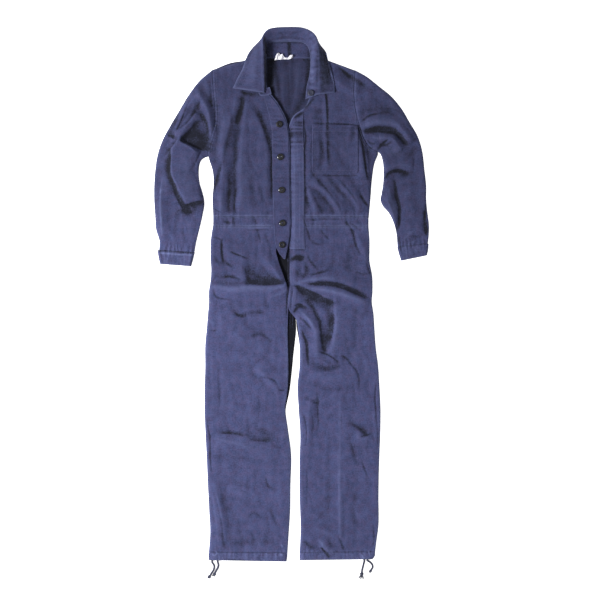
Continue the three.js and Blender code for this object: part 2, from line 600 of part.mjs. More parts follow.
// Bodice fronts
const armholeRows = 11;
function front(sections, armpit, height, columnCount) {
  const rowsAt = [
    ...evenRows(sections, 0, armpit, armholeRows),
    ...evenRows(sections, armpit, lastOf(sections), 9).slice(1),
  ];
  return upperPanel(planGrid(sections, rowsAt, columnsAcross(columnCount)), height);
}
const frontRight = front(frontRightSections, rightArmpit, upperLayer, 15);
const frontLeft = front(frontLeftSections, leftArmpit, leftFrontLayer, 16);
add('front_right', frontRight.geometry, 'twill');
add('front_left', frontLeft.geometry, 'twill');

// Sleeves, each a top half over an under half, set in along the front's armhole points
function armholeLine(panel, side, shift) {
  const points = panel.under.slice(0, armholeRows + 1).map((row) => row[side === 'left' ? 0 : lastOf(row)]);
  return points.map((p) => new THREE.Vector3(p.x + shift, p.y + seamGap, 0));
}
function sleeve(sections, seam) {
  const count = armholeRows;
  const straight = Array.from({ length: count + 1 }, (_, i) => i / count);
  const rowsAt = evenRows(sections, 0, lastOf(sections), 22);
  return planGrid(sections, rowsAt, straight, seam);
}
const sleeveRightPlan = sleeve(sleeveRightSections, armholeLine(frontRight, 'left', -seamGap));
const sleeveLeftPlan = sleeve(sleeveLeftSections, armholeLine(frontLeft, 'right', seamGap).reverse());
add('sleeve_right_top', upperPanel(sleeveRightPlan).geometry, 'twill');
add('sleeve_left_top', upperPanel(sleeveLeftPlan).geometry, 'twill');

// The outline of a plan: round its four edges.
function outlineOf(plan) {
  const rightEdge = plan.map((row) => row[lastOf(row)]);
  const leftEdge = plan.map((row) => row[0]).reverse();
  const topEdge = plan[0];
  const bottomEdge = [...plan[lastOf(plan)]].reverse();
  return [...topEdge, ...rightEdge.slice(1), ...bottomEdge.slice(1), ...leftEdge.slice(1, -1)];
}
add('sleeve_right_under', flatPanel(outlineOf(sleeveRightPlan)), 'twill');
add('sleeve_left_under', flatPanel(outlineOf(sleeveLeftPlan)), 'twill');

// Back of the bodice, in one piece from armhole to armhole
const edgeOf = (panel, side) => panel.under.map((row) => row[side === 'left' ? 0 : lastOf(row)]);
const backOutline = [
  ...backTop.map((p) => new THREE.Vector3(p.x, p.y, 0)),
  ...edgeOf(frontLeft, 'right').slice(1),
  ...edgeOf(frontRight, 'left').slice(1).reverse(),
];
add('back', flatPanel(backOutline), 'twill');

// Waistband
function bandOutline(left, right) {
  return [
    { x: left, y: waistTop - seamGap },
    { x: right, y: waistTop - seamGap },
    { x: right, y: waistBottom + seamGap },
    { x: left, y: waistBottom + seamGap },
  ];
}
const bandSections = (left, right) => [
  { leftX: left, leftY: waistTop - seamGap, rightX: right, rightY: waistTop - seamGap },
  { leftX: left, leftY: waistBottom + seamGap, rightX: right, rightY: waistBottom + seamGap },
];
function band(left, right, height) {
  const sections = bandSections(left, right);
  return upperPanel(planGrid(sections, evenRows(sections, 0, 1, 2), columnsAcross(15)), height);
}
const bandRight = band(-235, -2, upperLayer);
const bandLeft = band(-20, 231, leftFrontLayer);
add('waistband_right', bandRight.geometry, 'twill');
add('waistband_left', bandLeft.geometry, 'twill');
add('waistband_back', flatPanel(bandOutline(-235, 231)), 'twill');

// Trousers
function leg(sections, height) {
  const rowsAt = evenRows(sections, 0, lastOf(sections), 34);
  return upperPanel(planGrid(sections, rowsAt, columnsAcross(13)), height);
}
const legRight = leg(legRightSections, upperLayer);
const legLeft = leg(legLeftSections, leftFrontLayer);
add('leg_right_front', legRight.geometry, 'twill');
add('leg_left_front', legLeft.geometry, 'twill');

function backLegOutline(outerEdge, innerEdge, innerTable) {
  const lowest = innerTable[lastOf(innerTable)].y;
  return [...outerEdge, ...innerEdge.filter((p) => p.y < lowest - 8).reverse(), ...[...innerTable].reverse()];
}
const backLegRight = backLegOutline(edgeOf(legRight, 'left'), edgeOf(legRight, 'right'), backLegRightInner);
const backLegLeft = backLegOutline(edgeOf(legLeft, 'right'), edgeOf(legLeft, 'left'), backLegLeftInner);
add('leg_right_back', flatPanel(backLegRight), 'twill');
add('leg_left_back', flatPanel(backLegLeft), 'twill');

// Cuffs and hems
add('cuff_right', flatTube(cuffRightSections, 2, 8), 'twill');
add('cuff_left', flatTube(cuffLeftSections, 2, 8), 'twill');
add('hem_right', flatTube(hemRightSections, 2, 12), 'twill');
add('hem_left', flatTube(hemLeftSections, 2, 12), 'twill');

// Button strip and buttonhole strip, each in three lengths: on the front, the waistband and the trousers
function stripShape(sections) {
  const rowsAt = evenRows(sections, 0, lastOf(sections), 20);
  const plan = planGrid(sections, rowsAt, [0, 1]);
  return new THREE.Shape(outlineOf(plan).map((p) => new THREE.Vector2(p.x, p.y)));
}
const buttonStripShape = stripShape(buttonStripSections);
const holeStripShape = stripShape(holeStripSections);
add('button_strip_front', patchOn(frontRight, buttonStripShape, backCloth), 'twill');
add('button_strip_waist', patchOn(bandRight, buttonStripShape, backCloth), 'twill');
add('button_strip_fly', patchOn(legRight, buttonStripShape, backCloth), 'twill');
add('buttonhole_strip_front', patchOn(frontLeft, holeStripShape, stripCloth), 'twill');
add('buttonhole_strip_waist', patchOn(bandLeft, holeStripShape, stripCloth), 'twill');
add('buttonhole_strip_fly', patchOn(legLeft, holeStripShape, stripCloth), 'twill');

// Chest pocket, a patch on the wearer's left front
function pocketShape() {
  const { left, right, top, bottom, corner } = pocket;
  const shape = new THREE.Shape();
  shape.moveTo(left, top);
  shape.lineTo(left, bottom + corner);
  shape.quadraticCurveTo(left, bottom, left + corner, bottom);
  shape.lineTo(right - corner, bottom);
  shape.quadraticCurveTo(right, bottom, right, bottom + corner);
  shape.lineTo(right, top);
  shape.closePath();
  return shape;
}
add('chest_pocket', patchOn(frontLeft, pocketShape(), backCloth), 'twill');

// Collar: sections round the neck, each a curve from seam to roll to edge, given a wall
function collarSurface() {
  const columns = ['seamX', 'seamY', 'seamZ', 'rollX', 'rollY', 'rollZ', 'edgeX', 'edgeY', 'edgeZ', 'under'];
  const stations = 28;
  const at = (name, t) => {
    const values = collarSections.map((row, i) => new THREE.Vector3(i * 10, row[name], 0));
    return new THREE.CatmullRomCurve3(values, false, 'catmullrom', 0.5).getPoint(t).y;
  };
  return Array.from({ length: stations + 1 }, (_, i) => {
    const row = Object.fromEntries(columns.map((name) => [name, at(name, i / stations)]));
    const seam = new THREE.Vector3(row.seamX, row.seamY, row.seamZ);
    const roll = new THREE.Vector3(row.rollX, row.rollY, row.rollZ);
    const edge = new THREE.Vector3(row.edgeX, row.edgeY, row.edgeZ);
    const stand = seam.clone().lerp(roll, 0.5);
    stand.z += 0.35 * (roll.z - seam.z);
    const fall = roll.clone().lerp(edge, 0.4);
    fall.z += (0.3 - 0.9 * row.under) * (roll.z - edge.z);
    const curve = new THREE.CatmullRomCurve3([seam, stand, roll, fall, edge], false, 'centripetal');
    return curve.getPoints(8).map((p) => {
      const below = row.under < 0.25 ? upperLayer(p.x, p.y) + cloth : 0;
      p.z = Math.max(p.z, below + doubled / 2 + 3 * seamGap);
      return p;
    });
  });
}

// Faces of a wall on both sides of a surface, along its normals.
function wallOn(surface, thick) {
  const rows = surface.length;
  const columns = surface[0].length;
  const offset = (by) => surface.map((row, i) => row.map((p, j) => {
    const down = surface[Math.min(i + 1, rows - 1)][j].clone().sub(surface[Math.max(i - 1, 0)][j]);
    const across = surface[i][Math.min(j + 1, columns - 1)].clone().sub(surface[i][Math.max(j - 1, 0)]);
    return p.clone().addScaledVector(down.cross(across).normalize(), by);
  }));
  return wallBetween(offset(thick / 2), offset(-thick / 2));
}
const collar = add('collar', wallOn(collarSurface(), doubled), 'twill');

// Facing inside the back of the neck, and the label on its lower edge
const facingSections = [
  { leftX: -58, leftY: 748, rightX: 38, rightY: 748 },
  { leftX: -66, leftY: 732, rightX: 50, rightY: 732 },
  { leftX: -68, leftY: 708, rightX: 54, rightY: 708 },
];
const facingThick = 1;
function facing() {
  const even = Array.from({ length: 5 }, (_, i) => i / 4);
  return upperPanel(planGrid(facingSections, evenRows(facingSections, 0, 2, 4), even), () => layerSeat, facingThick);
}
add('neck_facing', facing().geometry, 'inside');

const label = { left: -45, width: 50, top: 722, height: 20, slope: 0.12, curl: 5 };
function labelGeometry() {
  const base = layerSeat + facingThick + seamGap;
  const rows = 4;
  const columns = 8;
  const surface = Array.from({ length: rows + 1 }, (_, i) => Array.from({ length: columns + 1 }, (_, j) => {
    const u = j / columns;
    const v = i / rows;
    const x = label.left + u * label.width;
    const y = label.top + (u - 0.5) * label.slope * label.width - v * label.height;
    const curl = label.curl * (v * v + 0.35 * v * (1 + Math.sin(2.6 * Math.PI * u)));
    return new THREE.Vector3(x, y, base + curl);
  }));
  return wallBetween(lift(surface, 1), surface);
}
add('label', labelGeometry(), 'label');

// Buttons with a raised rim, seated on the highest cloth under them; the neck button sits on the collar
function buttonGeometry() {
  const profile = [
    [0, 0], [buttonRadius - 1.2, 0], [buttonRadius, 1.2], [buttonRadius - 0.6, buttonThick - 0.3],
    [buttonRadius - 2, buttonThick], [buttonRadius - 4.2, buttonThick - 1.4], [0, buttonThick - 1.4],
  ].map(([r, z]) => new THREE.Vector2(r, z));
  return new THREE.LatheGeometry(profile, 14).rotateX(Math.PI / 2);
}
function collarTop(x, y) {
  const down = new THREE.Raycaster(new THREE.Vector3(x, y, 60), new THREE.Vector3(0, 0, -1));
  const hits = down.intersectObject(collar);
  return hits.length > 0 ? hits[0].point.z : 0;
}
buttons.forEach(({ x, y, onCollar }, i) => {
  const reach = 0.9 * buttonRadius;
  const around = [[0, 0], [reach, 0], [-reach, 0], [0, reach], [0, -reach]];
  const base = onCollar
    ? Math.max(...around.map(([dx, dy]) => collarTop(x + dx, y + dy))) + 2 * seamGap
    : Math.max(...around.map(([dx, dy]) => upperLayer(x + dx, y + dy))) + cloth + backCloth + 3 * seamGap;
  const mesh = add(`button_${i + 1}`, buttonGeometry(), 'button');
  mesh.position.set(x, y, base);
});

// Drawcord ends, lying on the floor in front of the hems
function cordGeometry(points) {
  const path = new THREE.CatmullRomCurve3(points.map(([x, y]) => new THREE.Vector3(x, y, cordRadius)));
  const ring = Array.from({ length: 8 }, (_, i) => {
    const angle = ((i + 0.5) / 8) * 2 * Math.PI;
    return new THREE.Vector2(cordRadius * Math.cos(angle), cordRadius * Math.sin(angle));
  });
  return new THREE.ExtrudeGeometry(new THREE.Shape(ring), { steps: cordSteps, extrudePath: path });
}
for (const { name, points } of cordRuns) {
  add(`cord_${name}`, cordGeometry(points), 'cord');
  const [endX, endY] = points[lastOf(points)];
  const [beforeX, beforeY] = points[lastOf(points) - 1];
  const onward = new THREE.Vector2(endX - beforeX, endY - beforeY).normalize();
  const knot = add(`knot_${name}`, new THREE.SphereGeometry(knotRadius, 8, 6), 'cord');
  const away = knotRadius + seamGap;
  knot.position.set(endX + onward.x * away, endY + onward.y * away, 0.8 * knotRadius);
  knot.scale.set(1, 1, 0.8);
}

export default group;
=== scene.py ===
# A boiler suit of faded indigo twill, laid flat on its back on a pale floor, seen from straight above.
# Shapes are worked out in millimetres and put into the meshes in metres.
# X is across the suit, towards the wearer's left. Y is along it, towards the collar. Z is up.
import math

import bpy
import numpy as np
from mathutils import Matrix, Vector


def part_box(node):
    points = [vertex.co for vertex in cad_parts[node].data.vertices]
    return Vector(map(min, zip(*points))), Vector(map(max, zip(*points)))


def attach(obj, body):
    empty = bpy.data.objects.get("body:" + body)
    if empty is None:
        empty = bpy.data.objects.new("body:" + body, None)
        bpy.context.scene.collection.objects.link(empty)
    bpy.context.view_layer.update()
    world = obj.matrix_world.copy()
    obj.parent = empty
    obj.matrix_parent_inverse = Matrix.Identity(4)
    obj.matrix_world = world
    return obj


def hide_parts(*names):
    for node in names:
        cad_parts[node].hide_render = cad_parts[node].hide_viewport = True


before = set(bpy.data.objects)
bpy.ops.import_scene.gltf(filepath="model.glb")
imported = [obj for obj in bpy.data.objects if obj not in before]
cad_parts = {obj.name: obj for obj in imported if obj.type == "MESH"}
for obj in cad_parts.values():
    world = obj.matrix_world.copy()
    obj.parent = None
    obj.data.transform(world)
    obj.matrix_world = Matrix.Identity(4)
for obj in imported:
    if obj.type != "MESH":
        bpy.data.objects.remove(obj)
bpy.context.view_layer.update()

mm = 0.001

# Sizes that all the cloth shares
cloth = {
    "wall": 1.8,          # top of a panel above its underside
    "shell": 1.4,         # thickness of the cloth that shows
    "seat": 1.8,          # underside of the upper layer where it meets the back layer
    "lift": 2.4,          # how far the upper layer stands off it elsewhere
    "frontLift": 2.2,     # what the lapped fronts add
    "edgeRound": 11.0,    # width over which an outer edge curves down
    "onPanel": 1.8,       # top of a piece that lies on a panel, above the panel's top
    "spacing": 2.7,       # between neighbouring points of a panel
}


def smoothStep(start, end, value):
    t = np.clip((np.asarray(value, float) - start) / (end - start), 0, 1)
    return t * t * (3 - 2 * t)


def smoothCurve(points, at):
    # Centripetal Catmull-Rom: each stretch is a cubic, and its end slopes come from the spacing
    # of the four points round it. at counts points from 0.
    p = np.asarray(points, float)
    last = len(p) - 1
    p = np.vstack([2 * p[0] - p[1], p, 2 * p[-1] - p[-2]])
    at = np.clip(np.asarray(at, float), 0, last)
    i = np.minimum(at.astype(int), last - 1)
    w = (at - i)[..., None]
    a, b, c, d = p[i], p[i + 1], p[i + 2], p[i + 3]
    d0, d1, d2 = (
        np.maximum(np.sum((q - o) ** 2, -1, keepdims=True) ** 0.25, 1e-4)
        for o, q in ((a, b), (b, c), (c, d))
    )
    slope1 = ((b - a) / d0 - (c - a) / (d0 + d1) + (c - b) / d1) * d1
    slope2 = ((c - b) / d1 - (d - b) / (d1 + d2) + (d - c) / d2) * d1
    return b + slope1 * w + (3 * (c - b) - 2 * slope1 - slope2) * w**2 + (2 * (b - c) + slope1 + slope2) * w**3


def noise(x, y, size, seed):
    # Gradient noise: random slopes on a lattice of that size, blended by a fifth-degree curve.
    angle = np.random.default_rng(seed).uniform(0, 2 * np.pi, (64, 64))
    u, v = np.asarray(x) / size + 31.7, np.asarray(y) / size + 17.3
    i, j = np.floor(u).astype(int), np.floor(v).astype(int)
    f, g = u - i, v - j
    s, t = (w**3 * (6 * w * w - 15 * w + 10) for w in (f, g))

    def corner(di, dj):
        turn = angle[(i + di) % 64, (j + dj) % 64]
        return np.cos(turn) * (f - di) + np.sin(turn) * (g - dj)

    low = corner(0, 0) * (1 - s) + corner(1, 0) * s
    high = corner(0, 1) * (1 - s) + corner(1, 1) * s
    return (low * (1 - t) + high * t) * 1.4


def nearest(line, x, y):
    # Nearest point of a polyline for each (x, y): distance, side of it, and distance walked along it.
    line = np.asarray(line, float)
    best = np.full(x.shape, np.inf)
    side = np.ones(x.shape)
    walked = np.zeros(x.shape)
    passed = 0.0
    for a, b in zip(line[:-1], line[1:]):
        step = b - a
        long = math.hypot(*step)
        t = np.clip(((x - a[0]) * step[0] + (y - a[1]) * step[1]) / long**2, 0, 1)
        offX, offY = x - a[0] - t * step[0], y - a[1] - t * step[1]
        far = np.hypot(offX, offY)
        near = far < best
        best = np.where(near, far, best)
        side = np.where(near, np.sign(step[0] * offY - step[1] * offX), side)
        walked = np.where(near, passed + t * long, walked)
        passed += long
    return best, side, walked, passed


def closeTo(line, x, y, reach):
    line = np.asarray(line, float)
    low, high = line.min(0) - reach, line.max(0) + reach
    return (x > low[0]) & (x < high[0]) & (y > low[1]) & (y < high[1])


# Sections of each panel, from the shoulder or waist down: (leftX, leftY, rightX, rightY)
panels = {
    "frontRight": [
        (-237, 673, -75, 722), (-235, 634, -76, 672), (-232, 592, -72, 618), (-228, 545, -40, 572),
        (-230, 508, -16, 525), (-240, 474, -8, 486), (-250, 444, -5, 450), (-249, 413, -4, 415),
        (-236, 368, -4, 368), (-234, 330, -3, 330), (-237, 290, -2, 290), (-235, 234, -2, 234),
    ],
    "frontLeft": [
        (60, 720, 192, 671), (57, 676, 189, 636), (56, 630, 188, 602), (53, 588, 191, 566),
        (40, 561, 198, 530), (7, 536, 208, 496), (-9, 500, 221, 462), (-20, 460, 240, 438),
        (-20, 425, 259, 427), (-20, 385, 248, 390), (-20, 340, 241, 342), (-20, 290, 237, 290),
        (-20, 234, 232, 234),
    ],
    "sleeveRight": [
        (-237, 673, -249, 413), (-275, 641, -254, 412), (-309, 597, -260, 410), (-336, 552, -267, 406),
        (-363, 507, -273, 398), (-387, 462, -277, 383), (-402, 417, -278, 360), (-409, 370, -275, 333),
        (-412, 325, -267, 307), (-412, 282, -261, 274), (-409, 235, -267, 236), (-406, 195, -276, 197),
        (-396, 160, -285, 160), (-397, 134, -291, 127),
    ],
    "cuffRight": [(-402, 133.4, -290, 126.4), (-399, 112, -295, 105), (-394, 91, -301, 84)],
    "sleeveLeft": [
        (259, 427, 192, 671), (262, 426, 225, 653), (265, 423, 262, 624), (268, 418, 298, 595),
        (271, 410, 330, 557), (274, 397, 355, 515), (276, 378, 378, 475), (276, 353, 392, 430),
        (274, 326, 399, 372), (270, 302, 404, 325), (267, 282, 404, 287), (275, 264, 406, 260),
        (291, 246, 409, 236), (305, 219, 412, 211), (314, 186, 412, 184), (318, 143, 409, 153),
    ],
    "cuffLeft": [(317, 142.4, 411, 152.4), (322, 122, 410, 135), (329, 101, 406, 117)],
    "bandRight": [(-235, 233.7, -2, 233.7), (-235, 204.3, -2, 204.3)],
    "bandLeft": [(-20, 233.7, 231, 233.7), (-20, 204.3, 231, 204.3)],
    "legRight": [
        (-236, 204, -2, 204), (-242, 165, -8, 165), (-243, 135, -45, 138), (-243, 105, -41, 107),
        (-241, 75, -31, 77), (-243, 42, -20, 46), (-248, 8, -10, 14), (-248, -25, -10, -22),
        (-251, -60, -10, -56), (-254, -98, -11, -94), (-259, -155, -10, -152), (-259, -220, -9, -218),
        (-261, -285, -11, -283), (-261, -342, -18, -342), (-259, -400, -11, -400), (-255, -480, -1, -480),
        (-251, -570, -3, -570), (-247, -650, -4, -650), (-244, -712, -8, -712), (-248, -772, -12, -774),
    ],
    "hemRight": [(-248, -772.5, -12, -774.5), (-249, -785, -13, -788), (-248, -797, -15, -801)],
    "legLeft": [
        (-20, 204, 231, 204), (-19, 165, 234, 162), (-14, 137, 234, 132), (-13, 107, 234, 100),
        (-12, 60, 242, 56), (-12, 14, 243, 10), (-11, -22, 241, -22), (-7, -47, 246, -58),
        (13, -74, 248, -88), (20, -106, 250, -120), (24, -148, 253, -160), (24, -215, 260, -215),
        (18, -275, 264, -280), (21, -340, 267, -345), (26, -420, 266, -420), (24, -500, 263, -500),
        (24, -600, 261, -600), (27, -690, 261, -690), (26, -738, 255, -738), (24, -773, 251, -771),
    ],
    "hemLeft": [(24, -773.5, 251, -771.5), (24, -785, 250, -783), (25, -797, 243, -794)],
    "buttonStrip": [
        (-85, 594, -67, 600), (-75, 564, -43, 571), (-65, 524, -19, 526), (-59, 486, -10, 488),
        (-58, 430, -7, 430), (-57, 350, -6, 350), (-55, 270, -4, 270), (-53, 200, -4, 200),
        (-50, 162, -7, 162), (-46, 142, -11, 142), (-36, 122, -14.5, 122),
        (-23, 106, -18, 106),
    ],
    "holeStrip": [
        (27, 534, 36, 540), (9, 516, 36, 520), (-7, 486, 36, 486), (-18, 452, 38, 452),
        (-18, 350, 40, 350), (-18, 250, 40, 250), (-18, 165, 41, 165), (-4, 136, 42, 136),
    ],
}
armpitRow = {"frontRight": 7, "frontLeft": 8}


def edge(name, side, at=None):
    # One side of a panel as points (x, y), at section numbers or four to a section.
    rows = np.asarray(panels[name], float)
    columns = rows[:, :2] if side == "left" else rows[:, 2:]
    if at is None:
        at = np.linspace(0, len(rows) - 1, 4 * (len(rows) - 1) + 1)
    return smoothCurve(columns, at)


def edgeFrom(name, side, first, last=None):
    last = len(panels[name]) - 1 if last is None else last
    return edge(name, side, np.linspace(first, last, 4 * (last - first) + 1))


# The largest folds: a line through three points, then how high the crest stands (a trough has high
# below 0) and how far each side runs out, left and right of the line.
# (x0, y0, x1, y1, x2, y2, high, left, right)
mainFolds = [
    (-165, 590, -202, 440, -212, 252, 9, 26, 16),
    (-132, 585, -150, 430, -152, 245, 6, 44, 12),
    (-100, 560, -78, 440, -76, 280, 5, 11, 30),
    (112, 668, 150, 626, 200, 600, 6, 16, 14),
    (105, 600, 108, 500, 104, 380, 4, 30, 12),
    (58, 345, 110, 300, 150, 240, 8, 24, 12),
    (50, 320, 62, 285, 78, 246, 5, 16, 10),
    (130, 352, 178, 300, 206, 246, 5, 18, 11),
    (200, 500, 212, 420, 230, 330, 9, 11, 30),
    (-268, 610, -312, 560, -354, 476, 10, 14, 12),
    (-282, 545, -312, 508, -345, 464, 12, 14, 12),
    (-276, 606, -252, 552, -240, 470, 10, 13, 14),
    (-346, 462, -312, 440, -276, 420, 15, 12, 46),
    (-352, 455, -356, 360, -318, 280, 11, 44, 12),
    (-268, 296, -296, 290, -326, 282, 8, 13, 26),
    (-392, 300, -390, 230, -386, 180, 4, 16, 12),
    (222, 512, 300, 518, 366, 456, 12, 26, 13),
    (262, 470, 298, 470, 332, 432, 9, 12, 18),
    (280, 372, 320, 390, 366, 386, 9, 22, 13),
    (284, 310, 296, 262, 312, 214, 6, 12, 16),
    (352, 330, 356, 270, 358, 190, 4, 26, 22),
    (-232, 14, -120, 14, -12, 20, 8, 14, 34),
    (-150, 128, -152, 76, -150, 26, 6, 16, 30),
    (-84, 112, -44, 62, -14, 26, 7, 16, 14),
    (20, 30, 100, 46, 190, 32, 8, 30, 13),
    (34, 18, 130, 12, 232, -30, 9, 14, 24),
    (16, 4, 60, -20, 124, -34, -2, 14, 18),
    (128, -26, 134, -90, 122, -180, 7, 40, 14),
    (14, -52, 66, -88, 76, -190, 8, 16, 20),
    (190, 190, 220, 130, 226, 76, 4, 14, 20),
    (-224, -60, -150, -130, -70, -160, 4, 30, 26),
    (-110, -210, -62, -262, -34, -290, 5, 24, 14),
    (-232, -440, -130, -446, -36, -468, 6, 16, 30),
    (-232, -560, -212, -650, -206, -745, 5, 11, 18),
    (-190, -576, -140, -596, -96, -608, 4, 14, 18),
    (54, -226, 120, -250, 200, -240, 5, 30, 22),
    (147, -340, 148, -530, 150, -740, 3, 26, 24),
    (56, -290, 50, -380, 44, -470, 4, 14, 16),
    (184, -414, 214, -432, 244, -422, 5, 13, 20),
    (88, -744, 104, -764, 124, -784, 5, 14, 12),
]
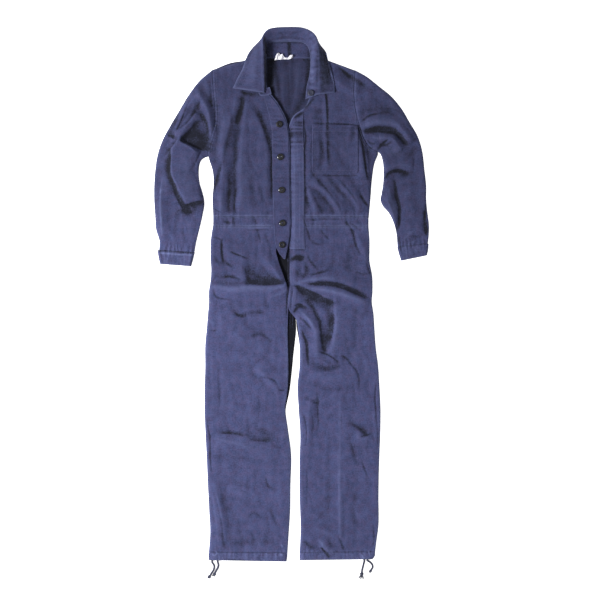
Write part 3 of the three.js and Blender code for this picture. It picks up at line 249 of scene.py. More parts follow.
# Creases: a line through three points, how deep it is and how much shade is painted along it (below 0: how
# raised it is and how much highlight is painted on it), and how far each side runs out, left and right of the line.
# The painted shade also makes the shadows beside the pocket, the strips, the hems and the collar's leaf.
# (x0, y0, x1, y1, x2, y2, dark, left, right)
creases = [
    # Wearer's right front
    (-145, 600, -150, 556, -164, 508, 0.9, 9, 11), (-176, 545, -188, 470, -206, 392, 0.7, 13, 11),
    (-206, 398, -222, 355, -229, 306, 0.75, 9, 8), (-205, 570, -208, 490, -216, 420, -0.3, 13, 10),
    (-232, 590, -222, 564, -222, 535, 0.4, 5, 6), (-108, 558, -84, 508, -62, 430, 0.7, 8, 9),
    (-60, 436, -59, 350, -58, 284, 0.85, 2, 4), (-189, 368, -187, 298, -184, 240, 0.65, 11, 8),
    (-169, 318, -169, 280, -168, 240, 0.5, 3, 3), (-214, 300, -210, 270, -212, 240, -0.5, 13, 12),
    (-234, 260, -222, 254, -209, 246, 0.6, 2, 2), (-232, 248, -224, 243, -214, 240, 0.4, 2, 2),
    (-150, 610, -118, 602, -88, 600, 0.85, 5, 7), (-150, 420, -142, 340, -146, 262, -0.2, 22, 26),
    (-98, 322, -88, 300, -84, 276, 0.3, 7, 7), (-128, 330, -112, 300, -116, 262, 0.2, 8, 8),
    (-122, 236, -110, 222, -108, 206, 0.35, 4, 4), (-170, 236, -172, 222, -171, 206, 0.6, 3, 4),
    (-190, 236, -192, 222, -190, 206, 0.5, 5, 5), (-212, 232, -200, 219, -186, 212, 0.4, 3, 3),
    # Wearer's left front
    (104, 616, 107, 556, 108, 496, 1.2, 5, 4), (106, 512, 108, 450, 112, 384, 0.75, 8, 5),
    (40, 520, 41, 400, 41, 308, 0.9, 3, 3), (38, 320, 42, 280, 44, 240, 0.5, 8, 5),
    (203, 504, 213, 434, 231, 342, 1.4, 7, 6), (206, 300, 218, 278, 231, 262, 0.85, 5, 4),
    (62, 364, 106, 314, 152, 248, 0.65, 6, 8), (74, 372, 120, 326, 160, 280, -0.35, 9, 6),
    (145, 344, 180, 300, 200, 264, 0.6, 5, 6), (58, 314, 76, 276, 92, 246, 0.5, 6, 6),
    (136, 690, 176, 656, 222, 622, 0.8, 7, 10), (118, 640, 126, 590, 124, 540, -0.2, 16, 12),
    (216, 440, 226, 400, 234, 360, -0.45, 5, 7), (124, 452, 140, 430, 150, 392, 0.25, 9, 9),
    (70, 468, 66, 430, 74, 392, 0.2, 12, 8), (160, 500, 152, 440, 156, 392, -0.18, 16, 14),
    (88, 560, 76, 540, 70, 520, 0.3, 14, 14), (66, 586, 52, 570, 34, 556, 0.8, 6, 6),
    (38, 545, 24, 538, 10, 528, 0.9, 6, 5), (84, 470, 92, 430, 88, 396, 0.4, 14, 10),
    (182, 500, 184, 480, 180, 456, 0.35, 11, 11), (34, 237, 46, 194, 53, 164, 0.85, 3, 3),
    (62, 511, 130, 510, 200, 509, 0.7, 2, 2), (66, 357, 130, 356, 196, 357, 0.5, 2, 2),
    (59, 505, 59, 430, 60, 364, 0.35, 2, 2), (203, 505, 203, 430, 202, 364, 0.35, 2, 2),
    (86, 194, 98, 178, 111, 164, 0.5, 3, 3), (160, 218, 182, 194, 194, 146, 0.7, 5, 5),
    (194, 150, 200, 132, 209, 118, 0.5, 4, 5), (176, 214, 190, 205, 206, 193, 0.5, 3, 3),
    (56, 164, 70, 153, 88, 148, 0.4, 6, 4), (49, 118, 61, 97, 80, 78, 0.5, 3, 3),
    (64, 234, 68, 222, 66, 208, 0.35, 3, 3), (96, 234, 100, 222, 97, 208, 0.35, 3, 4),
    (126, 234, 131, 222, 128, 208, 0.3, 3, 3), (158, 236, 164, 222, 170, 206, 0.4, 4, 4),
    (200, 236, 198, 222, 206, 206, 0.35, 4, 4),
    # Creases at the left hem with painted shade and a painted highlight, a painted shadow under the right hem's edge,
    # and worn spots at the drawcord holes and the ends of the seams
    (90, -754, 103, -771, 117, -786, 1.0, 4, 6), (104, -756, 116, -768, 132, -778, -0.4, 6, 5),
    (-33, -782, -28, -781, -24, -783, -2.2, 3, 3), (-237, -778, -230, -784, -226, -778, -1.2, 2, 2),
    (-228, -770, -224, -774, -222, -780, -1.2, 2, 2), (212, -778, 217, -786, 220, -792, -1.5, 2, 2),
    (232, -766, 236, -774, 238, -784, -1.0, 2, 2), (-30, -748, -27, -752, -25, -757, -1.0, 2.5, 2.5),
    (-200, -795, -160, -797, -110, -798, 0.8, 3, 2), (30, -772, 60, -773, 84, -772, -0.5, 1.6, 1.6),
    # Waistband, the fly's end and the crotch
    (-154, 232, -130, 232, -108, 232, 0.5, 2, 2), (-208, 216, -195, 216, -180, 215, 0.5, 2, 2),
    (-139, 207, -100, 207, -58, 206, -0.6, 2, 2), (-139, 200, -100, 200, -60, 200, -0.5, 2, 2),
    (-139, 195, -100, 195, -60, 196, 0.45, 2, 3), (40, 238, 100, 237, 160, 238, -0.4, 2, 2),
    (40, 226, 100, 225, 160, 226, 0.4, 2, 2), (44, 218, 90, 218, 160, 217, -0.35, 2, 2),
    (-178, 236, -176, 224, -178, 210, 0.5, 2, 4), (2, 112, 18, 113, 40, 110, 0.75, 8, 8),
    (-2, 133, 18, 134, 42, 133, 0.6, 5, 4),
    (-2, 104, -1, 70, -2, 34, -0.8, 2, 2), (6, 98, 6, 70, 5, 36, -0.35, 1.6, 1.6),
    (12, 98, 12, 70, 11, 36, -0.3, 1.6, 1.6), (-6, 24, -6, -10, -6, -42, -0.5, 1.6, 1.6),
    (5, 24, 5, -10, 5, -42, -0.5, 1.6, 1.6), (10, 22, 10, -10, 10, -42, -0.45, 1.6, 1.6),
    (0, 24, 0, -10, 0, -42, 0.35, 2, 2), (8, -52, 25, -33, 47, -38, 0.9, 3, 6),
    (-13, 34, -12, -6, -12, -60, 0.8, 2.5, 2),
    # Right sleeve
    (-296, 628, -335, 548, -369, 462, 0.55, 5, 26), (-278, 590, -311, 524, -344, 458, -0.45, 7, 9),
    (-284, 524, -292, 484, -286, 440, 0.75, 15, 15), (-336, 463, -300, 453, -262, 434, 2.1, 24, 5),
    (-300, 472, -276, 462, -252, 450, 1.7, 19, 19), (-272, 542, -256, 512, -250, 478, 1.0, 5, 8),
    (-301, 584, -334, 512, -347, 486, 0.9, 2.5, 6), (-290, 548, -308, 517, -335, 494, 0.95, 7, 7),
    (-296, 504, -316, 490, -338, 467, -0.6, 4, 4), (-362, 438, -359, 350, -325, 258, 0.9, 2.5, 9),
    (-350, 446, -366, 386, -359, 336, 0.95, 3, 9), (-361, 345, -345, 302, -324, 250, 1.5, 10, 4),
    (-332, 256, -304, 270, -264, 280, 1.1, 4, 22), (-334, 250, -318, 244, -296, 250, 0.5, 6, 9),
    (-320, 410, -316, 345, -292, 300, -0.4, 22, 26), (-389, 345, -390, 268, -388, 194, -0.6, 4, 4),
    (-376, 420, -384, 370, -376, 310, -0.3, 9, 12), (-262, 640, -250, 612, -252, 580, -0.3, 12, 10),
    (-246, 640, -240, 600, -238, 560, 0.4, 5, 5), (-264, 600, -272, 580, -276, 560, 0.3, 6, 6),
    (-300, 380, -286, 352, -280, 330, 0.25, 7, 7), (-350, 260, -346, 220, -352, 180, 0.2, 10, 8),
    (-316, 230, -306, 206, -302, 176, -0.3, 8, 8), (-290, 236, -284, 206, -292, 176, 0.3, 6, 6),
    (-330, 200, -324, 176, -320, 144, 0.25, 6, 6), (-360, 176, -352, 160, -348, 140, -0.25, 5, 5),
    (-404, 420, -408, 330, -404, 240, 0.3, 3, 5), (-344, 570, -372, 516, -398, 440, 0.4, 9, 5),
    # Left sleeve
    (211, 520, 226, 533, 262, 542, 0.75, 3, 4), (262, 542, 286, 548, 308, 536, 0.3, 5, 5),
    (218, 491, 262, 495, 306, 491, 1.3, 8, 8), (296, 494, 324, 476, 350, 448, 1.3, 6, 6),
    (226, 508, 262, 512, 306, 508, -0.35, 8, 6), (288, 468, 270, 450, 257, 434, 1.0, 4, 4),
    (228, 462, 238, 452, 250, 452, 0.7, 3, 3), (244, 474, 258, 466, 272, 470, -0.5, 4, 4),
    (262, 450, 280, 448, 300, 462, 0.6, 4, 4), (226, 444, 236, 438, 244, 442, 0.5, 3, 3),
    (286, 436, 306, 428, 330, 424, -0.35, 14, 16), (279, 348, 294, 366, 326, 374, 1.0, 5, 6),
    (322, 372, 338, 368, 352, 362, 0.6, 5, 15),
    (306, 350, 310, 312, 314, 280, 0.35, 12, 9), (313, 300, 322, 256, 325, 200, 0.8, 4, 5),
    (315, 216, 318, 180, 323, 138, 0.7, 6, 4), (398, 252, 403, 214, 405, 180, 1.0, 5, 8),
    (336, 146, 350, 152, 372, 158, -0.5, 3, 3), (330, 140, 344, 143, 360, 150, -0.5, 2, 2),
    (330, 390, 352, 410, 376, 440, 0.3, 9, 12),
    (308, 340, 319, 286, 326, 206, 0.85, 3, 5), (290, 320, 300, 290, 314, 240, -0.6, 9, 11),
    (279, 292, 292, 272, 306, 240, -0.3, 5, 6), (400, 272, 401, 244, 400, 218, 0.9, 3, 3),
    (406, 216, 408, 196, 404, 178, 1.0, 3, 5), (330, 158, 352, 176, 372, 188, -0.4, 4, 4),
    (336, 146, 350, 152, 366, 150, 0.4, 3, 3), (360, 176, 380, 172, 396, 180, 0.3, 4, 4),
    (346, 330, 352, 270, 350, 210, 0.2, 12, 12), (384, 340, 390, 280, 388, 220, -0.2, 10, 10),
    (330, 510, 352, 492, 372, 460, 0.3, 8, 8), (304, 560, 336, 528, 362, 490, -0.25, 12, 10),
    (210, 640, 240, 610, 262, 570, 0.2, 12, 12), (262, 622, 300, 590, 330, 552, 0.25, 5, 8),
    # Hips
    (-236, 172, -224, 170, -212, 164, 0.6, 2, 3), (-209, 165, -208, 122, -203, 92, 0.85, 4, 5),
    (-200, 98, -190, 92, -178, 84, 0.5, 5, 6), (-230, 116, -222, 98, -206, 92, 0.4, 5, 5),
    (-180, 126, -156, 116, -132, 109, 0.9, 3, 3), (-138, 72, -88, 50, -34, 40, 0.5, 22, 14),
    (-140, 31, -82, 32, -18, 34, 0.85, 14, 3), (-212, 52, -180, 53, -152, 42, 0.6, 7, 4),
    (-156, 104, -142, 72, -132, 42, 0.4, 7, 6), (-240, 22, -126, 22, -12, 25, -0.6, 5, 9),
    (-60, 10, -34, 18, -10, 28, 0.4, 3, 3), (-66, -8, -36, 2, -8, 20, -0.35, 5, 5),
    (-236, 10, -226, -8, -184, -15, 0.45, 3, 3), (-220, 60, -236, 44, -240, 20, 0.3, 4, 4),
    (-168, -58, -150, -63, -134, -60, 0.55, 6, 6), (-128, -57, -105, -56, -80, -60, 0.35, 8, 6),
    (-126, -132, -90, -118, -60, -140, 0.4, 8, 8), (-80, 190, -66, 150, -62, 110, 0.3, 6, 6),
    (-100, 196, -96, 176, -92, 152, 0.45, 3, 4), (-8, 100, 14, 110, 38, 106, 0.9, 6, 8),
    (42, 100, 50, 68, 34, 48, 0.5, 7, 8), (4, 64, 18, 62, 38, 64, 0.4, 16, 14),
    (58, 60, 84, 66, 108, 74, 0.7, 4, 4), (4, 30, 56, 44, 118, 51, -0.55, 5, 7),
    (36, 32, 130, 29, 224, -8, 1.0, 8, 7), (50, 20, 130, 6, 214, -16, -0.5, 4, 7),
    (6, 26, 62, 5, 126, -27, 1.1, 5, 9), (16, 20, 52, -2, 92, -24, 0.9, 6, 14),
    (126, -24, 126, -90, 120, -152, 0.75, 2, 15),
    (130, -30, 132, -90, 128, -150, -0.3, 9, 3), (40, -14, 66, -40, 84, -80, 0.7, 6, 6),
    (84, -76, 90, -125, 103, -168, 0.75, 4, 7), (8, -34, 25, -28, 44, -38, 0.85, 3, 3),
    (26, -46, 50, -68, 68, -108, -0.5, 5, 6), (24, -66, 44, -86, 62, -108, 0.55, 5, 5),
    (30, -112, 44, -152, 49, -214, 1.0, 4, 5), (20, -128, 30, -160, 32, -212, -0.4, 6, 5),
    (86, -172, 114, -182, 142, -204, 0.7, 3, 3), (58, -206, 102, -222, 152, -215, 0.55, 11, 14),
    (150, -180, 166, -192, 180, -206, 0.5, 4, 4), (176, -203, 195, -230, 204, -274, 0.8, 3, 3),
    (150, -110, 164, -150, 180, -190, 0.2, 10, 10), (226, 96, 236, 60, 238, 20, 0.55, 4, 4),
    (196, 70, 214, 62, 234, 64, 0.4, 3, 3), (180, 160, 172, 110, 176, 66, 0.15, 14, 14),
    # Legs
    (-92, -248, -52, -258, -36, -284, 0.8, 4, 4), (-38, -284, -28, -288, -16, -282, 0.7, 3, 3),
    (-242, -106, -234, -108, -224, -106, 0.5, 2, 2), (-250, -72, -240, -82, -228, -86, -0.4, 3, 3),
    (-216, -418, -172, -417, -138, -424, 0.75, 8, 3), (-116, -400, -88, -412, -50, -424, 0.5, 14, 16),
    (-124, -436, -92, -440, -62, -436, 0.85, 9, 4), (-234, -432, -156, -448, -90, -468, -0.4, 5, 7),
    (-250, -372, -245, -440, -239, -530, 0.95, 3, 3), (-227, -602, -212, -662, -202, -754, 0.8, 4, 7),
    (-236, -600, -228, -660, -218, -740, -0.35, 5, 4), (-178, -583, -142, -590, -110, -607, 0.6, 3, 3),
    (-77, -548, -71, -574, -50, -587, 0.65, 4, 4), (-130, -668, -108, -655, -88, -672, 0.4, 5, 5),
    (-66, -640, -54, -664, -42, -690, 0.4, 7, 7), (-210, -735, -130, -745, -40, -738, 0.2, 26, 16),
    (-220, -196, -217, -280, -218, -340, 0.3, 4, 4), (-206, -210, -204, -280, -206, -340, -0.2, 5, 5),
    (-240, -200, -236, -280, -236, -356, -0.25, 5, 5), (-100, -300, -96, -340, -104, -392, 0.25, 7, 7),
    (-170, -480, -166, -540, -172, -590, 0.2, 9, 9), (-60, -440, -46, -456, -30, -460, 0.4, 3, 3),
    (-122, -706, -116, -736, -118, -764, 0.2, 5, 6), (-190, -640, -164, -672, -150, -720, 0.22, 9, 9),
    (38, -308, 62, -318, 84, -330, 0.6, 10, 9), (77, -296, 80, -346, 80, -396, 0.75, 3, 3),
    (38, -356, 44, -406, 43, -456, 0.75, 3, 3), (58, -340, 64, -380, 62, -420, 0.5, 3, 4),
    (146, -350, 150, -380, 148, -412, 0.55, 3, 4), (172, -384, 204, -402, 236, -424, 0.65, 13, 10),
    (203, -428, 220, -424, 240, -418, 1.0, 4, 3), (212, -500, 219, -526, 227, -548, 0.7, 3, 3),
    (254, -266, 251, -332, 258, -394, 0.95, 3, 3), (258, -394, 262, -430, 258, -470, 0.6, 3, 4),
    (140, -470, 142, -600, 144, -726, -0.6, 3, 2), (150, -470, 153, -600, 154, -726, 0.3, 8, 4),
    (139, -720, 154, -758, 164, -778, 0.5, 3, 3), (91, -758, 104, -776, 114, -791, 1.0, 3, 3),
    (84, -736, 92, -744, 100, -756, -0.7, 6, 5), (34, -738, 48, -752, 66, -766, 0.55, 9, 9),
    (70, -690, 84, -668, 100, -650, 0.25, 6, 6), (248, -690, 250, -730, 246, -760, 0.55, 3, 4),
    (180, -560, 190, -620, 184, -690, 0.2, 12, 12), (44, -520, 50, -580, 46, -640, 0.35, 3, 4),
    (176, -440, 188, -480, 200, -516, 0.35, 7, 7), (100, -560, 110, -620, 104, -690, 0.18, 12, 12),
    (66, -700, 110, -716, 130, -726, -0.3, 5, 8), (170, -270, 164, -310, 168, -350, 0.2, 8, 8),
]
foldShape = {"narrowest": 2.3, "crisp": 0.65, "wander": 4.0, "wanderSize": 62.0, "creaseDepth": 0.3, "deepest": 2.6}


def strokes(table, x, y, profile, ends):
    # Sum over the rows of a table of amount times a profile across the line, faded at its ends.
    # The lines wander: the point is first moved by a slow noise.
    wander, size = foldShape["wander"], foldShape["wanderSize"]
    x, y = x + wander * noise(x, y, size, 1), y + wander * noise(x, y, size, 2)
    total = np.zeros(x.shape)
    for x0, y0, x1, y1, x2, y2, amount, left, right in table:
        line = smoothCurve([(x0, y0), (x1, y1), (x2, y2)], np.linspace(0, 2, 9))
        left, right = max(left, foldShape["narrowest"]), max(right, foldShape["narrowest"])
        here = closeTo(line, x, y, 2.6 * max(left, right))
        if not here.any():
            continue
        far, side, walked, long = nearest(line, x[here], y[here])
        off = far / np.where(side > 0, left, right)
        along = walked / long
        total[here] += profile(off, amount, min(left, right)) * (4 * along * (1 - along) + 0.04) ** ends
    return total


def foldHeight(x, y):
    # A fold is part bell and part tent with a crisp crest; a crease is a narrow groove or ridge
    # whose depth goes with its width.
    crisp = foldShape["crisp"]

    def fold(off, high, narrow):
        tent = np.maximum(0, 1 - 0.72 * (np.hypot(off, 0.1) - 0.1))
        return high * ((1 - crisp) * np.exp(-(off**2)) + crisp * tent)

    def groove(off, dark, narrow):
        deep = min(foldShape["creaseDepth"] * (narrow + 2), foldShape["deepest"])
        return -dark * deep * np.exp(-1.5 * (np.hypot(off, 0.3) - 0.3))

    return strokes(mainFolds, x, y, fold, 0.5) + strokes(creases, x, y, groove, 0.45)


def creaseShade(x, y):
    # Painted shade along the creases (above 0) and painted highlights on them (below 0), a little uneven.
    shade = strokes(creases, x, y, lambda off, dark, narrow: dark * np.exp(-(off**2)), 0.35)
    pressed = smoothStep(-740, -700, y) * (1 - smoothStep(-260, -140, y))
    faint = 1 - 0.5 * pressed  # half as much painted shade where the legs are pressed flatter
    return shade * faint * (0.9 + 0.35 * noise(x, y, 13, 11))


rims = [
    np.array([(-237, 673), (-75, 722)], float),
    np.array([(60, 720), (192, 671)], float),
    edgeFrom("frontRight", "left", armpitRow["frontRight"]),
    edgeFrom("frontLeft", "right", armpitRow["frontLeft"]),
    np.array([(-235, 234), (-236, 204)], float),
    np.array([(232, 234), (231, 204)], float),
    edge("legRight", "left"),
    edgeFrom("legRight", "right", 9),
    edgeFrom("legLeft", "left", 8),
    edge("legLeft", "right"),
]
for tubeName in ("sleeveRight", "sleeveLeft", "cuffRight", "cuffLeft", "hemRight", "hemLeft"):
    rims += [edge(tubeName, "left"), edge(tubeName, "right")]

# Seams where two panels meet: a line that the cloth is pulled down to, with gathers along it
seams = {
    "armholeRight": edgeFrom("frontRight", "left", 0, armpitRow["frontRight"]),
    "armholeLeft": edgeFrom("frontLeft", "right", 0, armpitRow["frontLeft"]),
    "waistTopRight": np.array([(-235, 234), (-60, 234)], float),
    "waistTopLeft": np.array([(44, 234), (232, 234)], float),
    "waistLowRight": np.array([(-236, 204), (-60, 204)], float),
    "waistLowLeft": np.array([(44, 204), (231, 204)], float),
    "cuffSeamRight": np.array([(-397, 134), (-291, 127)], float),
    "cuffSeamLeft": np.array([(318, 143), (409, 153)], float),
    "hemSeamRight": np.array([(-248, -772), (-12, -774)], float),
    "hemSeamLeft": np.array([(24, -773), (251, -771)], float),
}
# (line, how far the gathers reach, how deep they are, their pitch)
gathers = [
    (seams["waistTopRight"], 16, 0.9, 13), (seams["waistTopLeft"], 14, 0.7, 14),
    (seams["waistLowRight"], 12, 0.6, 12), (seams["waistLowLeft"], 14, 0.8, 12),
    (seams["armholeRight"], 12, 0.7, 12), (seams["armholeLeft"], 12, 0.6, 13),
    (seams["cuffSeamRight"], 18, 1.3, 13), (seams["cuffSeamLeft"], 18, 1.2, 12),
    (seams["hemSeamRight"], 12, 0.8, 15), (seams["hemSeamLeft"], 12, 0.8, 14),
    (edgeFrom("legRight", "right", 9), 12, 0.9, 11), (edgeFrom("legLeft", "left", 8), 12, 0.8, 12),
    (edge("legRight", "left"), 9, 0.5, 17), (edge("legLeft", "right"), 9, 0.5, 16),
    (edge("hemRight", "left"), 6, 0.4, 9),
]


def gatherHeight(x, y):
    # Waves along each seam, with an uneven pitch, dying away from it.
    total = np.zeros(x.shape)
    for number, (line, reach, deep, pitch) in enumerate(gathers):
        here = closeTo(line, x, y, 2.5 * reach)
        if not here.any():
            continue
        far, side, walked, long = nearest(line, x[here], y[here])
        phase = walked / pitch + 0.9 * noise(walked, far * 0.4, 2.4 * pitch, 20 + number)
        uneven = 0.55 + 0.45 * noise(walked, 0 * walked, 3.1 * pitch, 50 + number)
        total[here] += deep * uneven * np.sin(2 * np.pi * phase) * np.exp(-((far / reach) ** 2))
    return total


def seamDip(x, y):
    total = np.zeros(x.shape)
    for line in seams.values():
        here = closeTo(line, x, y, 12)
        if here.any():
            far = nearest(line, x[here], y[here])[0]
            total[here] -= 0.9 * np.exp(-((far / 2.4) ** 2))
    return total


wrinkles = {"longGrain": 0.55, "crumple": 0.5, "small": 0.16}


def wrinkleHeight(x, y):
    # Ridged noise: one set drawn out along the cloth, one as wide as long, one small.
    warpX = x + 14 * noise(x, y, 90, 3)
    warpY = y + 14 * noise(x, y, 90, 4)
    along = 1 - 2 * np.abs(noise(warpX / 24, warpY / 90, 1, 5))
    crumple = 1 - 2 * np.abs(noise(warpX, warpY, 34, 6))
    small = noise(warpX, warpY, 11, 7)
    calm = 0.55 + 0.9 * noise(x, y, 120, 8)
    return (
        wrinkles["longGrain"] * along * np.clip(calm + 0.2, 0.2, 1.2)
        + wrinkles["crumple"] * np.maximum(crumple, -0.2) * np.clip(1.1 - calm, 0.2, 1.2)
        + wrinkles["small"] * small
    )


def stripCalm(x, y):
    # 0 under the buttons and their strips, which stay flat, and 1 away from them.
    middle = np.where(y > 480, -18 - (y - 480) * 0.62, -8)
    inRow = smoothStep(90, 130, y) * (1 - smoothStep(610, 640, y))
    return 1 - inRow * (1 - smoothStep(34, 62, np.abs(x - middle)))


def upperLayer(x, y, fine=True):
    # Underside of the upper layer: its lift, folds and wrinkles, times the curve down to its rims.
    rim = np.full(x.shape, np.inf)
    for line in rims:
        here = closeTo(line, x, y, cloth["edgeRound"])
        if here.any():
            rim[here] = np.minimum(rim[here], nearest(line, x[here], y[here])[0])
    inward = np.clip(rim / cloth["edgeRound"], 0, 1)
    curve = np.sqrt(1 - (1 - inward) ** 2)
    fronts = cloth["frontLift"] * smoothStep(20, 110, y) * (1 - smoothStep(60, 150, np.abs(x + 10)))
    calm = stripCalm(x, y)
    raised = cloth["lift"] + fronts + foldHeight(x, y) * calm
    if fine:
        raised = raised + (wrinkleHeight(x, y) + gatherHeight(x, y)) * (0.3 + 0.7 * calm) + seamDip(x, y)
    low = 0.4 * cloth["lift"]
    eased = low + np.log1p(np.exp(np.clip((raised - low) * 2.2, -30, 30))) / 2.2
    return cloth["seat"] + eased * curve


def leftFrontLayer(x, y):
    # The wearer's left front runs in under the right one, down to the back layer.
    shown = smoothStep(-7, 10, x)
    lapped = smoothStep(-10, 30, y) * (1 - smoothStep(480, 530, y))
    high = upperLayer(x, y)
    return high + (cloth["seat"] + 0.2 - high) * (1 - shown) * lapped


def evenRows(rows, first, last, count):
    # Section numbers that are evenly spaced down the middle of a panel.
    rows = np.asarray(rows, float)
    fine = np.linspace(first, last, 300)
    middle = (smoothCurve(rows[:, :2], fine) + smoothCurve(rows[:, 2:], fine)) / 2
    walked = np.append(0, np.cumsum(np.linalg.norm(np.diff(middle, axis=0), axis=1)))
    return np.interp(np.linspace(0, walked[-1], count + 1), walked, fine)


def lineLength(line):
    return float(np.linalg.norm(np.diff(line, axis=0), axis=1).sum())


def planGrid(name, spacing=None, startLine=None):
    # Points of a panel seen from above, rows down and columns across. They lie closer at both
    # edges: u - 0.08 sin(2 pi u). startLine is a seam that the first rows are pulled to.
    rows = np.asarray(panels[name], float)
    spacing = spacing or cloth["spacing"]
    left, right = edge(name, "left"), edge(name, "right")
    down = int(round(max(lineLength(left), lineLength(right)) / spacing))
    across = int(round(np.linalg.norm(rows[:, :2] - rows[:, 2:], axis=1).max() / spacing))
    at = evenRows(rows, 0, len(rows) - 1, down)
    u = np.linspace(0, 1, across + 1)
    u = u - 0.08 * np.sin(2 * np.pi * u)
    a, b = smoothCurve(rows[:, :2], at)[:, None], smoothCurve(rows[:, 2:], at)[:, None]
    grid = a + (b - a) * u[None, :, None]
    if startLine is not None:
        line = smoothCurve(startLine, u * (len(startLine) - 1))
        pull = np.maximum(0, 1 - np.linspace(0, 22 / 6, down + 1)) ** 2
        grid = grid + (line - grid[0])[None] * pull[:, None, None]
    return grid


def blur(values, size):
    # Box blur along both ways of a grid, twice, with the edge values carried on.
    size = max(1, min(size, min(values.shape) // 2 - 1))
    for axis in (0, 1, 0, 1):
        pad = [(size, size) if k == axis else (0, 0) for k in (0, 1)]
        sums = np.cumsum(np.pad(values, pad, mode="edge"), axis=axis)
        zero = np.zeros_like(np.take(sums, [0], axis=axis))
        sums = np.concatenate([zero, sums], axis=axis)
        count = values.shape[axis]
        width = 2 * size + 1
        high = np.take(sums, range(width, width + count), axis=axis)
        low = np.take(sums, range(0, count), axis=axis)
        values = (high - low) / width
    return values


# Lines along which the dye has rubbed off, and one painted highlight along a crease ridge of the right sleeve: (line,
# how wide, how much)
rubbedAndLitLines = [
    (edgeFrom("frontRight", "right", 0, 5), 3, 0.7), (edgeFrom("frontRight", "right", 5), 2.4, 0.3),
    (edgeFrom("frontLeft", "left", 0, 6), 2.8, 0.85),
    (seams["armholeRight"], 5, 0.16), (seams["armholeLeft"], 9, 0.13),
    (seams["waistTopRight"], 4, 0.45), (seams["waistLowRight"], 4, 0.45),
    (seams["waistTopLeft"], 4, 0.45), (seams["waistLowLeft"], 4, 0.45),
    (np.array([(-237, 673), (-75, 722)], float), 5, 0.4), (np.array([(60, 720), (192, 671)], float), 5, 0.35),
    (edgeFrom("legRight", "right", 9), 5, 0.45), (edgeFrom("legLeft", "left", 8), 5, 0.45),
    (edge("legRight", "left"), 5, 0.4), (edge("legLeft", "right"), 5, 0.35),
    (edge("sleeveRight", "left"), 5, 0.4), (edge("sleeveLeft", "left"), 5, 0.35),
    (np.array([(144, -322), (144, -540), (146, -728)], float), 3, 0.2),
    # a painted highlight along a crease ridge, not rubbing
    (np.array([(-392, 314), (-390, 238), (-388, 178)], float), 3, 0.35),
    (np.array([(-248, -797), (-15, -801)], float), 4, 0.3), (np.array([(25, -797), (243, -794)], float), 4, 0.3),
    (np.array([(-394, 91), (-301, 84)], float), 4, 0.3), (np.array([(329, 101), (406, 117)], float), 4, 0.3),
    (np.array([(-392, 124), (-340, 120), (-298, 118)], float), 2, 0.8),
]


def wornness(x, y, lines=rubbedAndLitLines):
    total = np.zeros(x.shape)
    patchy = 0.75 + 0.6 * noise(x, y, 16, 9)
    for line, wide, much in lines:
        here = closeTo(line, x, y, 3 * wide)
        if here.any():
            far = nearest(line, x[here], y[here])[0]
            total[here] = np.maximum(total[here], much * np.exp(-((far / wide) ** 2)))
    return total * patchy


def toneOf(x, y):
    # How light the cloth is at a place: the legs most, the chest and the sleeves least.
    hips = smoothStep(-60, 90, y)
    chest = smoothStep(150, 330, y)
    arms = smoothStep(235, 285, np.abs(x)) * smoothStep(60, 160, y)
    rightArm = arms * (x < 0)
    patches = 0.07 * noise(x, y, 150, 10) + 0.05 * noise(x, y, 48, 12) + 0.06 * noise(x, 0.1 * y, 13, 13)
    rightChest = chest * (1 - smoothStep(-30, 10, x))
    return 1 - 0.17 * hips - 0.09 * chest - 0.06 * rightChest + 0.09 * rightArm - 0.05 * arms * (x > 0) + patches


def makeMesh(name, points, uv, faces, values=None, uvNames="grain"):
    mesh = bpy.data.meshes.new(name)
    mesh.from_pydata((points.reshape(-1, 3) * mm).tolist(), [], faces.tolist())
    corners = np.empty(len(mesh.loops), dtype=np.int32)
    mesh.loops.foreach_get("vertex_index", corners)
    layer = mesh.uv_layers.new(name=uvNames)
    layer.data.foreach_set("uv", (uv.reshape(-1, 2)[corners] * mm).astype(np.float32).ravel())
    for key, value in (values or {}).items():
        attribute = mesh.attributes.new(key, "FLOAT", "POINT")
        attribute.data.foreach_set("value", np.asarray(value, np.float32).ravel())
    mesh.polygons.foreach_set("use_smooth", np.ones(len(mesh.polygons), bool))
    mesh.update()
    piece = bpy.data.objects.new(name, mesh)
    bpy.context.scene.collection.objects.link(piece)
    return piece


def gridFaces(rows, columns, ringed=False):
    # Quads of a grid whose rows run down (-Y) and columns to the right (+X), facing up.
    index = np.arange(rows * columns).reshape(rows, columns)
    if ringed:
        index = np.concatenate([index, index[:, :1]], axis=1)
    return np.stack([index[:-1, :-1], index[1:, :-1], index[1:, 1:], index[:-1, 1:]], -1).reshape(-1, 4)


def tuckRows(plan, top, ends, down, reach=3.6):
    # Adds two rows beyond the first or last one, which run in under the next piece at a seam.
    for end in ends:
        first, inner = (0, 1) if end == "start" else (-1, -2)
        out = plan[first] - plan[inner]
        out = out / np.maximum(np.linalg.norm(out, axis=1, keepdims=True), 1e-6)
        near, far = plan[first] + 0.5 * out, plan[first] + reach * out
        rows, heights = [far, near], [top[first] - down, top[first] - 0.5 * down]
        if end == "start":
            plan, top = np.concatenate([rows, plan]), np.concatenate([heights, top])
        else:
            plan, top = np.concatenate([plan, rows[::-1]]), np.concatenate([top, heights[::-1]])
    return plan, top


